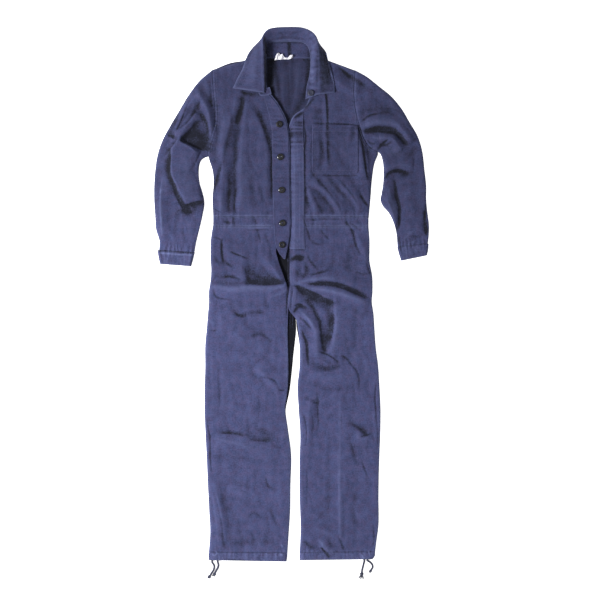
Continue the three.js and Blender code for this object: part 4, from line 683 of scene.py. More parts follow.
def clothPiece(name, plan, top, wearAndHighlight=None, shade=None, shell=None, tone=None, material="twill"):
    # A panel: plan points with a height, its rubbed places, painted shade and painted highlights, and a thin shell
    # below.
    x, y = plan[..., 0], plan[..., 1]
    points = np.dstack([x, y, top])
    crest = top - blur(top, 3)
    broad = top - blur(top, 9)
    worn = wornness(x, y) if wearAndHighlight is None else wearAndHighlight
    shade = creaseShade(x, y) if shade is None else shade
    # Rubbing, with painted highlights from the light creases; painted shade from the dark creases, taken off on the
    # surface's crests and added in its hollows
    values = {
        "wearAndHighlight": np.clip(worn + 0.1 * np.clip(crest, 0, 1.5) + 0.5 * np.clip(-shade, 0, 1), 0, 1),
        "paintedShade": np.clip(np.clip(shade, 0, 1) - 0.35 * crest - 0.05 * broad, 0, 1),
        "tone": toneOf(x, y) if tone is None else tone,
    }
    piece = makeMesh(name, points, plan, gridFaces(*x.shape), values)
    solidify = piece.modifiers.new("thickness", "SOLIDIFY")
    solidify.thickness = (shell or cloth["shell"]) * mm
    solidify.offset = -1
    piece.data.materials.append(materials[material])
    return piece


def planArea(plan):
    # Area of a grid seen from above, by the cross product of each cell's diagonals.
    p = plan[1:, 1:] - plan[:-1, :-1]
    q = plan[1:, :-1] - plan[:-1, 1:]
    return float(np.abs(p[..., 0] * q[..., 1] - p[..., 1] * q[..., 0]).sum() / 2)


def declareSheet(piece, plan, nodes, area=None, flat=None):
    # Works out the flat cut's width and length, those of its box, and its area with the ease that the folds take up,
    # though nothing uses them; then hangs the piece under the root and hides the parts it stands for.
    ease = 1.03
    if flat is None:
        low, high = plan.reshape(-1, 2).min(0), plan.reshape(-1, 2).max(0)
        flat = (high - low) * mm
    area = planArea(plan) * mm * mm if area is None else area
    area = min(area * ease, 0.999 * flat[0] * flat[1])
    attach(piece, "root")
    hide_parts(*nodes)


# Camera: straight above, with the photo's scale of 3 mm a pixel on the floor
camera = {"distance": 6.0, "sensor": 36.0, "width": 1.8, "x": 0.0255, "y": -0.0165}


def makeCamera():
    data = bpy.data.cameras.new("camera")
    data.sensor_width = camera["sensor"]
    data.lens = camera["sensor"] * camera["distance"] / camera["width"]
    data.clip_end = 50
    eye = bpy.data.objects.new("camera", data)
    eye.location = (camera["x"], camera["y"], camera["distance"])
    bpy.context.scene.collection.objects.link(eye)
    bpy.context.scene.camera = eye


makeCamera()
print("camera placed")


# Materials. Each effect is a node group that puts out masks and heights only.
def newGroup(name, inputs, outputs):
    group = bpy.data.node_groups.new(name, "ShaderNodeTree")
    for label, kind, default in inputs:
        socket = group.interface.new_socket(label, in_out="INPUT", socket_type=kind)
        if default is not None:
            socket.default_value = default
    for label, kind in outputs:
        group.interface.new_socket(label, in_out="OUTPUT", socket_type=kind)
    return group, group.nodes.new("NodeGroupInput"), group.nodes.new("NodeGroupOutput")


def addNode(tree, kind, inputs=None, **settings):
    node = tree.nodes.new(kind)
    for key, value in settings.items():
        setattr(node, key, value)
    for key, value in (inputs or {}).items():
        if isinstance(value, bpy.types.NodeSocket):
            tree.links.new(value, node.inputs[key])
        else:
            node.inputs[key].default_value = value
    return node


def mathNode(tree, operation, a, b=0.0, c=0.0):
    node = addNode(tree, "ShaderNodeMath", operation=operation)
    for place, value in enumerate((a, b, c)):
        if isinstance(value, bpy.types.NodeSocket):
            tree.links.new(value, node.inputs[place])
        else:
            node.inputs[place].default_value = value
    return node.outputs[0]


def mixColour(tree, share, a, b, blend="MIX"):
    node = addNode(tree, "ShaderNodeMix", data_type="RGBA", blend_type=blend)
    for place, value in ((0, share), (6, a), (7, b)):
        if isinstance(value, bpy.types.NodeSocket):
            tree.links.new(value, node.inputs[place])
        else:
            node.inputs[place].default_value = value
    return node.outputs[2]


def makeWeaveGroup():
    # Twill: diagonal ribs crossed by finer ones along the yarn, broken up by a slow noise.
    group, into, out = newGroup(
        "twillWeave", [("Grain", "NodeSocketVector", None)], [("Ribs", "NodeSocketFloat"), ("Yarn", "NodeSocketFloat")]
    )
    turned = addNode(group, "ShaderNodeMapping", {"Vector": into.outputs[0], "Rotation": (0, 0, math.radians(27))})
    ribs = addNode(
        group, "ShaderNodeTexWave", {"Vector": turned.outputs[0], "Scale": 225, "Distortion": 1.2, "Detail": 1.0},
        wave_type="BANDS", bands_direction="X", wave_profile="SIN",
    )
    yarn = addNode(
        group, "ShaderNodeTexNoise", {"Vector": into.outputs[0], "Scale": 900, "Detail": 2.0, "Roughness": 0.6}
    )
    group.links.new(ribs.outputs["Fac"], out.inputs[0])
    group.links.new(yarn.outputs["Fac"], out.inputs[1])
    return group


def makeFadeGroup():
    # Mottled fading: clouds of washed dye, small specks, and a slow drift between blue and violet.
    group, into, out = newGroup(
        "fading", [("Grain", "NodeSocketVector", None)],
        [("Clouds", "NodeSocketFloat"), ("Specks", "NodeSocketFloat"), ("Drift", "NodeSocketFloat")],
    )
    for place, (scale, detail, rough) in enumerate(((34, 4, 0.6), (230, 3, 0.7), (62, 3, 0.55))):
        moved = addNode(group, "ShaderNodeMapping", {"Vector": into.outputs[0], "Location": (0.37 * place, 0.61 * place, 0)})
        cloud = addNode(
            group, "ShaderNodeTexNoise", {"Vector": moved.outputs[0], "Scale": scale, "Detail": detail, "Roughness": rough}
        )
        group.links.new(cloud.outputs["Fac"], out.inputs[place])
    return group


weaveGroup, fadeGroup = makeWeaveGroup(), makeFadeGroup()

twillLook = {
    "deep": (0.005, 0.0055, 0.0105, 1),       # painted shade, where the painted-shade mask is high
    "dyed": (0.0345, 0.0412, 0.104, 1),     # most of the cloth
    "violet": (0.0435, 0.0415, 0.101, 1),   # where the dye has turned
    "faded": (0.092, 0.108, 0.222, 1),      # rubbed edges and crests, and painted highlights
    "roughness": 0.88,
    "sheen": 0.04,
}


def makeTwill(name, look, darkness=1.0, shaded="paintedShade"):
    material = bpy.data.materials.new(name)
    material.use_nodes = True
    tree = material.node_tree
    shader = tree.nodes["Principled BSDF"]
    grain = addNode(tree, "ShaderNodeUVMap", uv_map="grain").outputs[0]
    weave = addNode(tree, "ShaderNodeGroup", node_tree=weaveGroup)
    fade = addNode(tree, "ShaderNodeGroup", node_tree=fadeGroup)
    tree.links.new(grain, weave.inputs[0])
    tree.links.new(grain, fade.inputs[0])
    wearAndHighlight = addNode(tree, "ShaderNodeAttribute", attribute_name="wearAndHighlight").outputs["Fac"]
    paintedShade = addNode(tree, "ShaderNodeAttribute", attribute_name=shaded).outputs["Fac"]
    tone = addNode(tree, "ShaderNodeAttribute", attribute_name="tone").outputs["Fac"]
    clouds, specks, drift = fade.outputs
    drifting = mathNode(tree, "MULTIPLY_ADD", drift, 3.6, -1.4)
    colour = mixColour(tree, mathNode(tree, "MINIMUM", mathNode(tree, "MAXIMUM", drifting, 0.0), 1.0), look["dyed"], look["violet"])
    mottle = mathNode(tree, "MULTIPLY_ADD", clouds, 1.2, -0.6)
    speck = mathNode(tree, "MULTIPLY_ADD", specks, 1.9, -0.95)
    ribs = mathNode(tree, "MULTIPLY_ADD", weave.outputs["Ribs"], 0.22, -0.11)
    faded = mathNode(tree, "ADD", mathNode(tree, "ADD", mottle, speck), ribs)
    # Rubbing, painted highlights and the light half of the mottling draw the colour to faded; painted shade and the
    # dark half of the mottling draw it to deep
    lighter = mathNode(tree, "ADD", wearAndHighlight, mathNode(tree, "MULTIPLY", mathNode(tree, "MAXIMUM", faded, 0.0), 0.5))
    darker = mathNode(tree, "ADD", paintedShade, mathNode(tree, "MULTIPLY", mathNode(tree, "MINIMUM", faded, 0.0), -0.9))
    colour = mixColour(tree, mathNode(tree, "MINIMUM", darker, 0.95), colour, look["deep"])
    colour = mixColour(tree, mathNode(tree, "MINIMUM", lighter, 0.8), colour, look["faded"])
    # Tone times darkness: below 1, darkness makes a painted-shade copy of the twill
    shade = mathNode(tree, "MULTIPLY", tone, darkness)
    grey = addNode(tree, "ShaderNodeCombineColor", {0: shade, 1: shade, 2: shade}).outputs[0]
    colour = mixColour(tree, 1.0, colour, grey, blend="MULTIPLY")
    tree.links.new(colour, shader.inputs["Base Color"])
    rough = mathNode(tree, "MULTIPLY_ADD", specks, 0.12, look["roughness"] - 0.06)
    tree.links.new(rough, shader.inputs["Roughness"])
    shader.inputs["Sheen Weight"].default_value = look["sheen"]
    shader.inputs["Sheen Roughness"].default_value = 0.5
    shader.inputs["Specular IOR Level"].default_value = 0.12
    height = mathNode(tree, "MULTIPLY_ADD", weave.outputs["Yarn"], 0.6, mathNode(tree, "MULTIPLY", specks, 1.6))
    height = mathNode(tree, "ADD", height, weave.outputs["Ribs"])
    bump = addNode(tree, "ShaderNodeBump", {"Height": height, "Strength": 0.7, "Distance": 0.00022})
    tree.links.new(bump.outputs[0], shader.inputs["Normal"])
    return material


def makePlain(name, colour, roughness, speckle=0.15, scale=500, bumpSize=0.0001, **sockets):
    # A small part's finish: one colour with a fine speckle and a slight grain.
    material = bpy.data.materials.new(name)
    material.use_nodes = True
    tree = material.node_tree
    shader = tree.nodes["Principled BSDF"]
    place = addNode(tree, "ShaderNodeTexCoord").outputs["Object"]
    fleck = addNode(tree, "ShaderNodeTexNoise", {"Vector": place, "Scale": scale, "Detail": 3.0}).outputs["Fac"]
    dark = tuple(c * (1 - speckle) for c in colour[:3]) + (1,)
    light = tuple(min(1, c * (1 + speckle)) for c in colour[:3]) + (1,)
    tree.links.new(mixColour(tree, fleck, dark, light), shader.inputs["Base Color"])
    tree.links.new(mathNode(tree, "MULTIPLY_ADD", fleck, 0.1, roughness - 0.05), shader.inputs["Roughness"])
    bump = addNode(tree, "ShaderNodeBump", {"Height": fleck, "Strength": 0.5, "Distance": bumpSize})
    tree.links.new(bump.outputs[0], shader.inputs["Normal"])
    for key, value in sockets.items():
        shader.inputs[key.replace("_", " ")].default_value = value
    return material


materials = {
    "twill": makeTwill("fadedTwill", twillLook),
    # The inside: the twill darkened to two thirds, painted shade
    "inside": makeTwill("shadedInsideTwill", twillLook, 0.66),
    "outside": makeTwill("outsideTwill", twillLook, 1.0, "unshaded"),
    "thread": makePlain("seamThread", (0.043, 0.05, 0.114), 0.8),
    "neckButton": makePlain("neckButtonPlastic", (0.02, 0.022, 0.04), 0.5, 0.3, 120, 0.00002, Specular_IOR_Level=0.2),
    "dullButton": makePlain("dullButtonPlastic", (0.007, 0.007, 0.009), 0.42, 0.3, 120, 0.00002, Specular_IOR_Level=0.2),
    "button": makePlain(
        "buttonPlastic", (0.004, 0.004, 0.0055), 0.2, 0.3, 120, 0.00002, Specular_IOR_Level=0.3, Coat_Weight=0.3,
    ),
    "label": makePlain("labelTape", (0.6, 0.59, 0.65), 0.8, 0.12, 400),
    "cord": makePlain("cordCotton", (0.022, 0.025, 0.048), 0.85, 0.35, 700, 0.0003),
}
print("materials made")


# Drawcord ends: a path on the floor from the hem to the knot, and the knot itself
cords = {
    "radius": 3.15,
    "knots": {  # (size, half angle of its loose yarn, length of that)
        "right_a": (5.6, 0.45, 5), "right_b": (5.4, 0.5, 7), "left_a": (6.0, 0.55, 17), "left_b": (4.8, 0.5, 6),
    },
    "routes": {
        "right_a": [(-238, -797.7), (-238, -803), (-232, -813), (-233, -824), (-239, -834), (-244, -842)],
        "right_b": [(-222, -797.9), (-221, -803), (-219, -811), (-221, -820), (-226, -828), (-229, -834)],
        "left_a": [(218, -794.8), (218, -800), (216, -808), (214, -816), (212, -824), (211, -832.5)],
        "left_b": [(226, -794.7), (229, -798), (236, -803), (242, -810), (243, -818), (239, -825)],
    },
}


def tubeAlong(path, radius, sides, closed=False, twist=0.0, braid=0.0):
    # A ring of points round each point of a path: the ring's axes are the level side and up,
    # made square to the path. braid raises a helical pattern on it.
    path = np.asarray(path, float)
    ahead = np.roll(path, -1, 0) - np.roll(path, 1, 0) if closed else np.gradient(path, axis=0)
    ahead /= np.linalg.norm(ahead, axis=1, keepdims=True)
    side = np.cross(ahead, (0, 0, 1.0))
    side /= np.maximum(np.linalg.norm(side, axis=1, keepdims=True), 1e-6)
    up = np.cross(side, ahead)
    step = np.linalg.norm(np.diff(path, axis=0), axis=1)
    walked = np.append(0, np.cumsum(step))
    turn = np.linspace(0, 2 * np.pi, sides, endpoint=False)[None]
    around = turn + twist * walked[:, None]
    slant = 1.6 * walked[:, None]
    bulge = 1 + braid * np.abs(np.sin(2 * turn + slant)) - braid * np.abs(np.sin(2 * turn - slant))
    size = np.asarray(radius) * bulge
    ring = side[:, None] * (np.cos(around) * size)[..., None]
    ring = ring + up[:, None] * (np.sin(around) * size)[..., None]
    return path[:, None] + ring, walked


def tubeFaces(rows, sides, closed=False):
    index = np.arange(rows * sides).reshape(rows, sides)
    index = np.concatenate([index, index[:, :1]], axis=1)
    if closed:
        index = np.concatenate([index, index[:1]], axis=0)
    return np.stack([index[:-1, :-1], index[:-1, 1:], index[1:, 1:], index[1:, :-1]], -1).reshape(-1, 4)


def closeEnds(piece):
    # Fills the open ends of a tube and turns all faces outwards.
    import bmesh
    work = bmesh.new()
    work.from_mesh(piece.data)
    bmesh.ops.holes_fill(work, edges=[e for e in work.edges if e.is_boundary])
    bmesh.ops.recalc_face_normals(work, faces=work.faces)
    work.to_mesh(piece.data)
    work.free()


def makeCords():
    radius = cords["radius"]
    for name, route in cords["routes"].items():
        route = np.asarray(route, float)
        flat = smoothCurve(route, np.linspace(0, len(route) - 1, 61))
        path = np.column_stack([flat, np.full(len(flat), radius)])
        points, walked = tubeAlong(path, radius, 20, braid=0.07)
        uv = np.dstack([np.repeat(walked[:, None], 20, 1), np.tile(np.arange(20) * 0.9, (len(path), 1))])
        cord = makeMesh(f"drawcord_{name}", points, uv, tubeFaces(len(path), 20))
        closeEnds(cord)
        cord.data.materials.append(materials["cord"])
        knot = makeKnot(name, flat[-1], flat[-1] - flat[-2])
        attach(cord, "root")
        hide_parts(f"cord_{name}")


def makeKnot(name, end, ahead):
    # An overhand knot: the closed curve (sin t + 2 sin 2t, cos t - 2 cos 2t, -sin 3t), squeezed,
    # with a fan of loose yarn beyond it.
    size, fan, tail = cords["knots"][name]
    thick = 0.42 * size
    onward = ahead / np.linalg.norm(ahead)
    across = np.array([-onward[1], onward[0]])
    t = np.linspace(0, 2 * np.pi, 64, endpoint=False)
    a, b, c = np.sin(t) + 2 * np.sin(2 * t), np.cos(t) - 2 * np.cos(2 * t), -np.sin(3 * t)
    middle = end + onward * (0.6 * size)
    plan = middle + (a / 3 * size * 0.62)[:, None] * across + (b / 3 * size * 0.62)[:, None] * onward
    path = np.column_stack([plan, 1.75 * thick + 0.7 * thick * c])
    points, walked = tubeAlong(path, thick, 12, closed=True, braid=0.05)
    uv = np.dstack([np.repeat(walked[:, None], 12, 1), np.tile(np.arange(12) * 0.9, (64, 1))])
    allPoints, allUv = [points.reshape(-1, 3)], [uv.reshape(-1, 2)]
    allFaces, count = [tubeFaces(64, 12, closed=True)], 64 * 12
    s = np.linspace(0, 1, 7)[:, None]
    for number, turn in enumerate(np.linspace(-fan, fan, 15)):
        heading = onward * math.cos(turn) + across * math.sin(turn)
        start = middle + onward * size * 0.6 + across * size * 0.8 * turn
        long = tail * (1 - 0.25 * (number % 3) / 2)
        bend = across * 0.8 * np.sin(5 * s + 2 * number)
        drop = thick + 1.5 * (number % 2) - (thick + 1.1) * s * 0.8
        strand = np.column_stack([start + heading * s * long + bend * s, drop])
        strand[:, 2] = np.maximum(strand[:, 2], 0.75)
        thin, _ = tubeAlong(strand, np.linspace(0.75, 0.35, 7)[:, None], 6)
        allPoints.append(thin.reshape(-1, 3))
        allUv.append(np.zeros((42, 2)))
        allFaces.append(tubeFaces(7, 6) + count)
        count += 42
    whole = [np.concatenate(parts) for parts in (allPoints, allUv, allFaces)]
    knot = makeMesh(f"drawcord_knot_{name}", *whole)
    closeEnds(knot)
    knot.data.materials.append(materials["cord"])
    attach(knot, "root")
    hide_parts(f"knot_{name}")
    return knot


makeCords()
print("cords laid")


# Back layer: flat on the floor, with a few creases inside the neck
backFolds = [
    (-4, 742, -3, 700, -6, 620, 1.6, 3, 3), (-60, 700, -50, 640, -44, 580, 2.2, 16, 10),
    (-20, 690, -26, 610, -18, 540, 1.6, 8, 8), (24, 700, 20, 640, 6, 560, 1.8, 9, 7),
    (44, 690, 40, 650, 34, 600, 2.0, 6, 8),
]
backTop = [
    (-237, 673), (-185, 694), (-134, 704), (-92, 728), (-68, 757), (-20, 760), (36, 757), (64, 732),
    (104, 703), (150, 687), (192, 671),
]
backInner = {
    "right": [
        (-0.5, 204), (4, 60), (12, -60), (14, -104), (10, -145), (6, -180), (1, -232), (-6, -290), (-17, -342),
    ],
    "left": [(0.5, 204), (5, 60), (13, -60), (16, -100), (23, -146)],
}


def backHeight(x, y):
    # Top of the back layer: 1.5, with low folds where the open neck leaves it room.
    total = np.zeros(x.shape)
    for x0, y0, x1, y1, x2, y2, high, left, right in backFolds:
        line = smoothCurve([(x0, y0), (x1, y1), (x2, y2)], np.linspace(0, 2, 7))
        here = closeTo(line, x, y, 3 * max(left, right))
        far, side, walked, long = nearest(line, x[here], y[here])
        off = far / np.where(side > 0, left, right)
        bell = np.exp(-1.6 * (np.hypot(off, 0.15) - 0.15))
        total[here] += high * bell * np.sin(np.pi * (0.06 + 0.88 * walked / long))
    room = smoothStep(520, 560, y) * (1 - smoothStep(716, 736, y)) * (1 - smoothStep(36, 62, np.abs(x + 8)))
    fold = (total + 0.5 * np.maximum(wrinkleHeight(x, y), 0)) * room
    return 1.5 + np.minimum(fold, 3.2)


# Painted shade and painted highlights inside the neck, in the same columns as the creases
neckCreases = [
    (-78, 752, -68, 680, -62, 600, 1.1, 18, 16), (-62, 606, -34, 548, -8, 502, 1.0, 14, 13),
    (52, 748, 54, 700, 50, 640, 0.5, 5, 7), (-52, 700, -46, 650, -40, 606, 0.4, 5, 9),
    (-8, 762, -6, 734, -3, 704, 2.2, 4, 4), (-4, 704, -6, 640, -8, 560, 0.35, 3, 3),
    (46, 712, 42, 640, 30, 590, 0.5, 9, 8), (40, 600, 20, 560, -6, 516, 0.6, 10, 10),
    (-54, 752, -10, 755, 38, 752, 0.6, 5, 4), (-64, 706, -50, 706, -44, 704, 0.6, 4, 5),
    (-30, 704, -20, 690, -26, 660, 0.4, 8, 8), (4, 706, 24, 706, 52, 705, 0.8, 2, 3),
    (-30, 690, -28, 640, -30, 600, -0.25, 12, 10), (16, 700, 18, 660, 12, 610, -0.3, 13, 12),
    (-40, 660, -36, 620, -32, 590, 0.35, 6, 6), (4, 660, 6, 620, 2, 580, 0.25, 6, 5),
]


def neckShade(x, y):
    return strokes(neckCreases, x, y, lambda off, dark, narrow: dark * np.exp(-(off**2)), 0.35)


def flatBetween(leftLine, rightLine, spacing):
    # Plan grid between two lines of points, straight across.
    down = int(max(lineLength(leftLine), lineLength(rightLine)) / spacing)
    s = np.linspace(0, 1, down + 1)
    a = smoothCurve(leftLine, s * (len(leftLine) - 1))
    b = smoothCurve(rightLine, s * (len(rightLine) - 1))
    across = max(4, int(np.linalg.norm(a - b, axis=1).max() / spacing))
    u = np.linspace(0, 1, across + 1)
    return a[:, None] + (b - a)[:, None] * u[None, :, None]


def sideUpTo(line, lowest):
    return line[line[:, 1] < lowest]


def makeBackLayer():
    leftSide = edge("frontRight", "left")
    rightSide = edge("frontLeft", "right")
    body = flatBetween(leftSide, rightSide, 5.0)
    # The top rows take the shoulder line and neckline, and the next ones ease into straight rows.
    across = body.shape[1]
    topLine = smoothCurve(np.asarray(backTop, float), np.linspace(0, len(backTop) - 1, across))
    pull = np.clip(1 - np.linspace(0, 1, body.shape[0]) * 2.2, 0, 1)[:, None, None] ** 2
    body = body + (topLine - body[0])[None] * pull
    plans = {"back": body, "waistband_back": None, "leg_right_back": None, "leg_left_back": None}
    band = [np.array([(x, 233.7), (x, 219), (x, 204.3)], float) for x in (-235, 231)]
    plans["waistband_back"] = flatBetween(*band, 5.0)
    inner = {}
    for side, panel, edgeSide in (("right", "legRight", "right"), ("left", "legLeft", "left")):
        table = np.asarray(backInner[side], float)
        inner[side] = np.vstack([table, sideUpTo(edge(panel, edgeSide), table[-1, 1] - 8)])
    plans["leg_right_back"] = flatBetween(edge("legRight", "left"), inner["right"], 7.0)
    plans["leg_left_back"] = flatBetween(inner["left"], edge("legLeft", "right"), 7.0)
    for node, plan in plans.items():
        top = backHeight(plan[..., 0], plan[..., 1])
        plan, top = tuckRows(plan, top, {"back": ["end"], "waistband_back": []}.get(node, ["start"]), -1.5)
        x, y = plan[..., 0], plan[..., 1]
        # Where it shows between the legs, deep shade is painted on it
        between = (1 - smoothStep(38, 60, np.abs(x + 8))) * (1 - smoothStep(150, 190, y)) * smoothStep(-430, -370, y)
        piece = clothPiece(
            f"cloth_{node}", plan, top, wearAndHighlight=0.5 * wornness(x, y) * (1 - between),
            shade=neckShade(x, y) + 1.2 * between, tone=toneOf(x, y) * (1 - 0.5 * between), material="inside",
        )
        piece.data.materials.append(materials["outside"])
        piece.modifiers["thickness"].material_offset = 1
        piece.modifiers["thickness"].material_offset_rim = 1
        declareSheet(piece, plan, [node])


def makeFloor():
    bpy.ops.mesh.primitive_plane_add(size=14, location=(0, 0, -0.0006))
    floor = bpy.context.object
    floor.name = "floor"
    paper = makePlain("floorPaper", (0.86, 0.86, 0.87), 0.9, 0.01, 30, Emission_Strength=0.85)
    paper.node_tree.nodes["Principled BSDF"].inputs["Emission Color"].default_value = (1, 1, 1, 1)
    floor.data.materials.append(paper)


makeFloor()
makeBackLayer()
print("back layer laid")


# Panels of the upper layer
def armholeLine(front, side, shift, backwards):
    line = edgeFrom(front, side, 0, armpitRow[front]) + np.array([shift, 0.3])
    return line[::-1] if backwards else line


def makeUpperPanels():
    # (node, panel, layer, seam that it starts at, ends that run under, spacing, what it rests on)
    rightArmhole = armholeLine("frontRight", "left", -0.3, False)
    leftArmhole = armholeLine("frontLeft", "right", 0.3, True)
    jobs = [
        ("front_right", "frontRight", upperLayer, None, ["end"], 2.5, ["cloth_back"]),
        ("front_left", "frontLeft", leftFrontLayer, None, ["end"], 2.5, ["cloth_back"]),
        ("leg_right_front", "legRight", upperLayer, None, ["start", "end"], 2.9, ["cloth_leg_right_back"]),
        ("leg_left_front", "legLeft", leftFrontLayer, None, ["start", "end"], 2.9, ["cloth_leg_left_back"]),
        ("sleeve_right_top", "sleeveRight", upperLayer, rightArmhole, ["start", "end"], 2.6, ["sleeve_right_under"]),
        ("sleeve_left_top", "sleeveLeft", upperLayer, leftArmhole, ["start", "end"], 2.6, ["sleeve_left_under"]),
        ("waistband_right", "bandRight", upperLayer, None, [], 2.6, ["cloth_waistband_back"]),
        ("waistband_left", "bandLeft", leftFrontLayer, None, [], 2.6, ["cloth_waistband_back"]),
    ]
    for node, name, layer, start, tucked, spacing, restsOn in jobs:
        plan = planGrid(name, spacing=spacing, startLine=start)
        x, y = plan[..., 0], plan[..., 1]
        top = layer(x, y) + cloth["wall"]
        if name.startswith("band"):
            top = top + 0.7 * np.sin(np.pi * np.linspace(0, 1, top.shape[0]))[:, None] ** 0.5
        plan, top = tuckRows(plan, top, tucked, 1.9)
        x, y = plan[..., 0], plan[..., 1]
        shade = creaseShade(x, y)
        if layer is leftFrontLayer:
            # Painted shade under the lapped front, down to the crotch
            lapped = (1 - smoothStep(-8, -5, x)) * (1 - smoothStep(440, 480, y)) * smoothStep(14, 36, y)
            shade = shade + 1.3 * lapped
        piece = clothPiece(f"cloth_{node}", plan, top, shade=shade)
        declareSheet(piece, plan, [node])
        if node.startswith("sleeve"):
            under = planGrid(name, spacing=8.0, startLine=start)
            under, flat = tuckRows(under, np.full(under.shape[:2], 1.5), ["start"], -1.5)
            lower = clothPiece(f"cloth_{node[:-3]}under", under, flat)
            declareSheet(lower, under, [f"{node[:-3]}under"])


makeUpperPanels()
print("panels laid")


# Cuffs and hems: flattened tubes, their lower wall on the floor
tubes = {
    "wall": 2.4,
    "cuffs": {"bulge": 0.8, "puckers": 0.5},
    "hems": {"bulge": 1.1, "puckers": 0.6},
    "seamShade": {"cuff_right": 0.7, "cuff_left": 0.15, "hem_right": 0.2, "hem_left": 0.15},
    "streaks": 0.35,
}


def makeTubes():
    for node, name, kind in (
        ("cuff_right", "cuffRight", "cuffs"), ("cuff_left", "cuffLeft", "cuffs"),
        ("hem_right", "hemRight", "hems"), ("hem_left", "hemLeft", "hems"),
    ):
        plan = planGrid(name, spacing=2.2)
        x, y = plan[..., 0], plan[..., 1]
        down = np.linspace(0, 1, x.shape[0])[:, None]
        # Top wall: as the layer above it, swollen between its stitching and its folded edge
        high = np.maximum(tubes["wall"] + 0.5, upperLayer(x, y)) + tubes["wall"]
        swell = tubes[kind]["bulge"] * np.sin(np.pi * np.clip(down, 0, 1)) ** 0.6
        seed = 70 + len(node)
        ripple = tubes[kind]["puckers"] * noise(x, 0.35 * y, 9, seed)
        side = np.minimum(np.linspace(0, 1, x.shape[1]), np.linspace(1, 0, x.shape[1]))[None]
        close = np.sqrt(np.clip(side * 9, 0, 1))
        # The last rows turn down to the folded edge
        turned = np.sqrt(np.clip((1 - down) * 9, 0, 1))
        top = 2.6 + (high - 2.6 + swell + ripple) * (0.25 + 0.75 * close) * (0.35 + 0.65 * turned)
        low = np.zeros(x.shape) + 0.05
        wrapped = np.concatenate([np.dstack([x, y, top]), np.dstack([x, y, low])[:, ::-1]], axis=1)
        uv = np.concatenate([plan, plan[:, ::-1] + np.array([1200, 0])], axis=1)
        crest = np.abs(ripple)
        worn = np.clip(wornness(x, y) + 0.25 * crest + 0.5 * np.clip(noise(x, y, 5, seed + 9) - 0.25, 0, 1), 0, 1)
        crease = creaseShade(x, y)
        streaks = tubes["streaks"] * noise(x, 0.12 * y, 5, seed + 5)
        # Painted highlights from the light creases and the light half of the streaks join the rubbing
        worn = np.clip(worn + np.clip(-0.5 * crease, 0, 1) + np.clip(-streaks, 0, 1), 0, 1)
        wearAndHighlight = np.concatenate([worn, 0.3 * worn[:, ::-1]], axis=1)
        # Painted shade along the stitching, in the creases and in the puckers' troughs, with the dark half of the
        # streaks
        line = tubes["seamShade"][node] * np.exp(-(((down - 0.05) / 0.06) ** 2)) + np.clip(crease, 0, 1)
        paintedShade = np.concatenate([np.clip(line - 0.25 * ripple + np.clip(streaks, 0, 1), 0, 1), 0 * worn], axis=1)
        values = {"wearAndHighlight": wearAndHighlight, "paintedShade": paintedShade, "tone": 0.05 + np.concatenate([toneOf(x, y)] * 2, axis=1)}
        tube = makeMesh(f"cloth_{node}", wrapped, uv, gridFaces(*wrapped.shape[:2], ringed=True), values)
        tube.data.materials.append(materials["twill"])
        solidify = tube.modifiers.new("thickness", "SOLIDIFY")
        solidify.thickness = 1.1 * mm
        solidify.offset = -1
        wide = 2 * (plan[0, -1] - plan[0, 0])[0]
        long = lineLength(plan[:, 0])
        declareSheet(tube, plan, [node], area=0.98 * wide * long * mm * mm, flat=(wide * mm, long * mm))


makeTubes()
print("cuffs and hems made")


# Strips, pocket and facing, which lie on the panels
pocket = {"left": 62, "right": 200, "top": 508, "bottom": 361, "corner": 12}


def edgeWear(shape, wide, much=0.7):
    # Rubbing along all four edges of a grid; wide is in cells.
    rows, columns = shape
    i = np.minimum(np.arange(rows), np.arange(rows)[::-1])[:, None]
    j = np.minimum(np.arange(columns), np.arange(columns)[::-1])[None]
    return much * np.exp(-((np.minimum(i, j) / wide) ** 2))


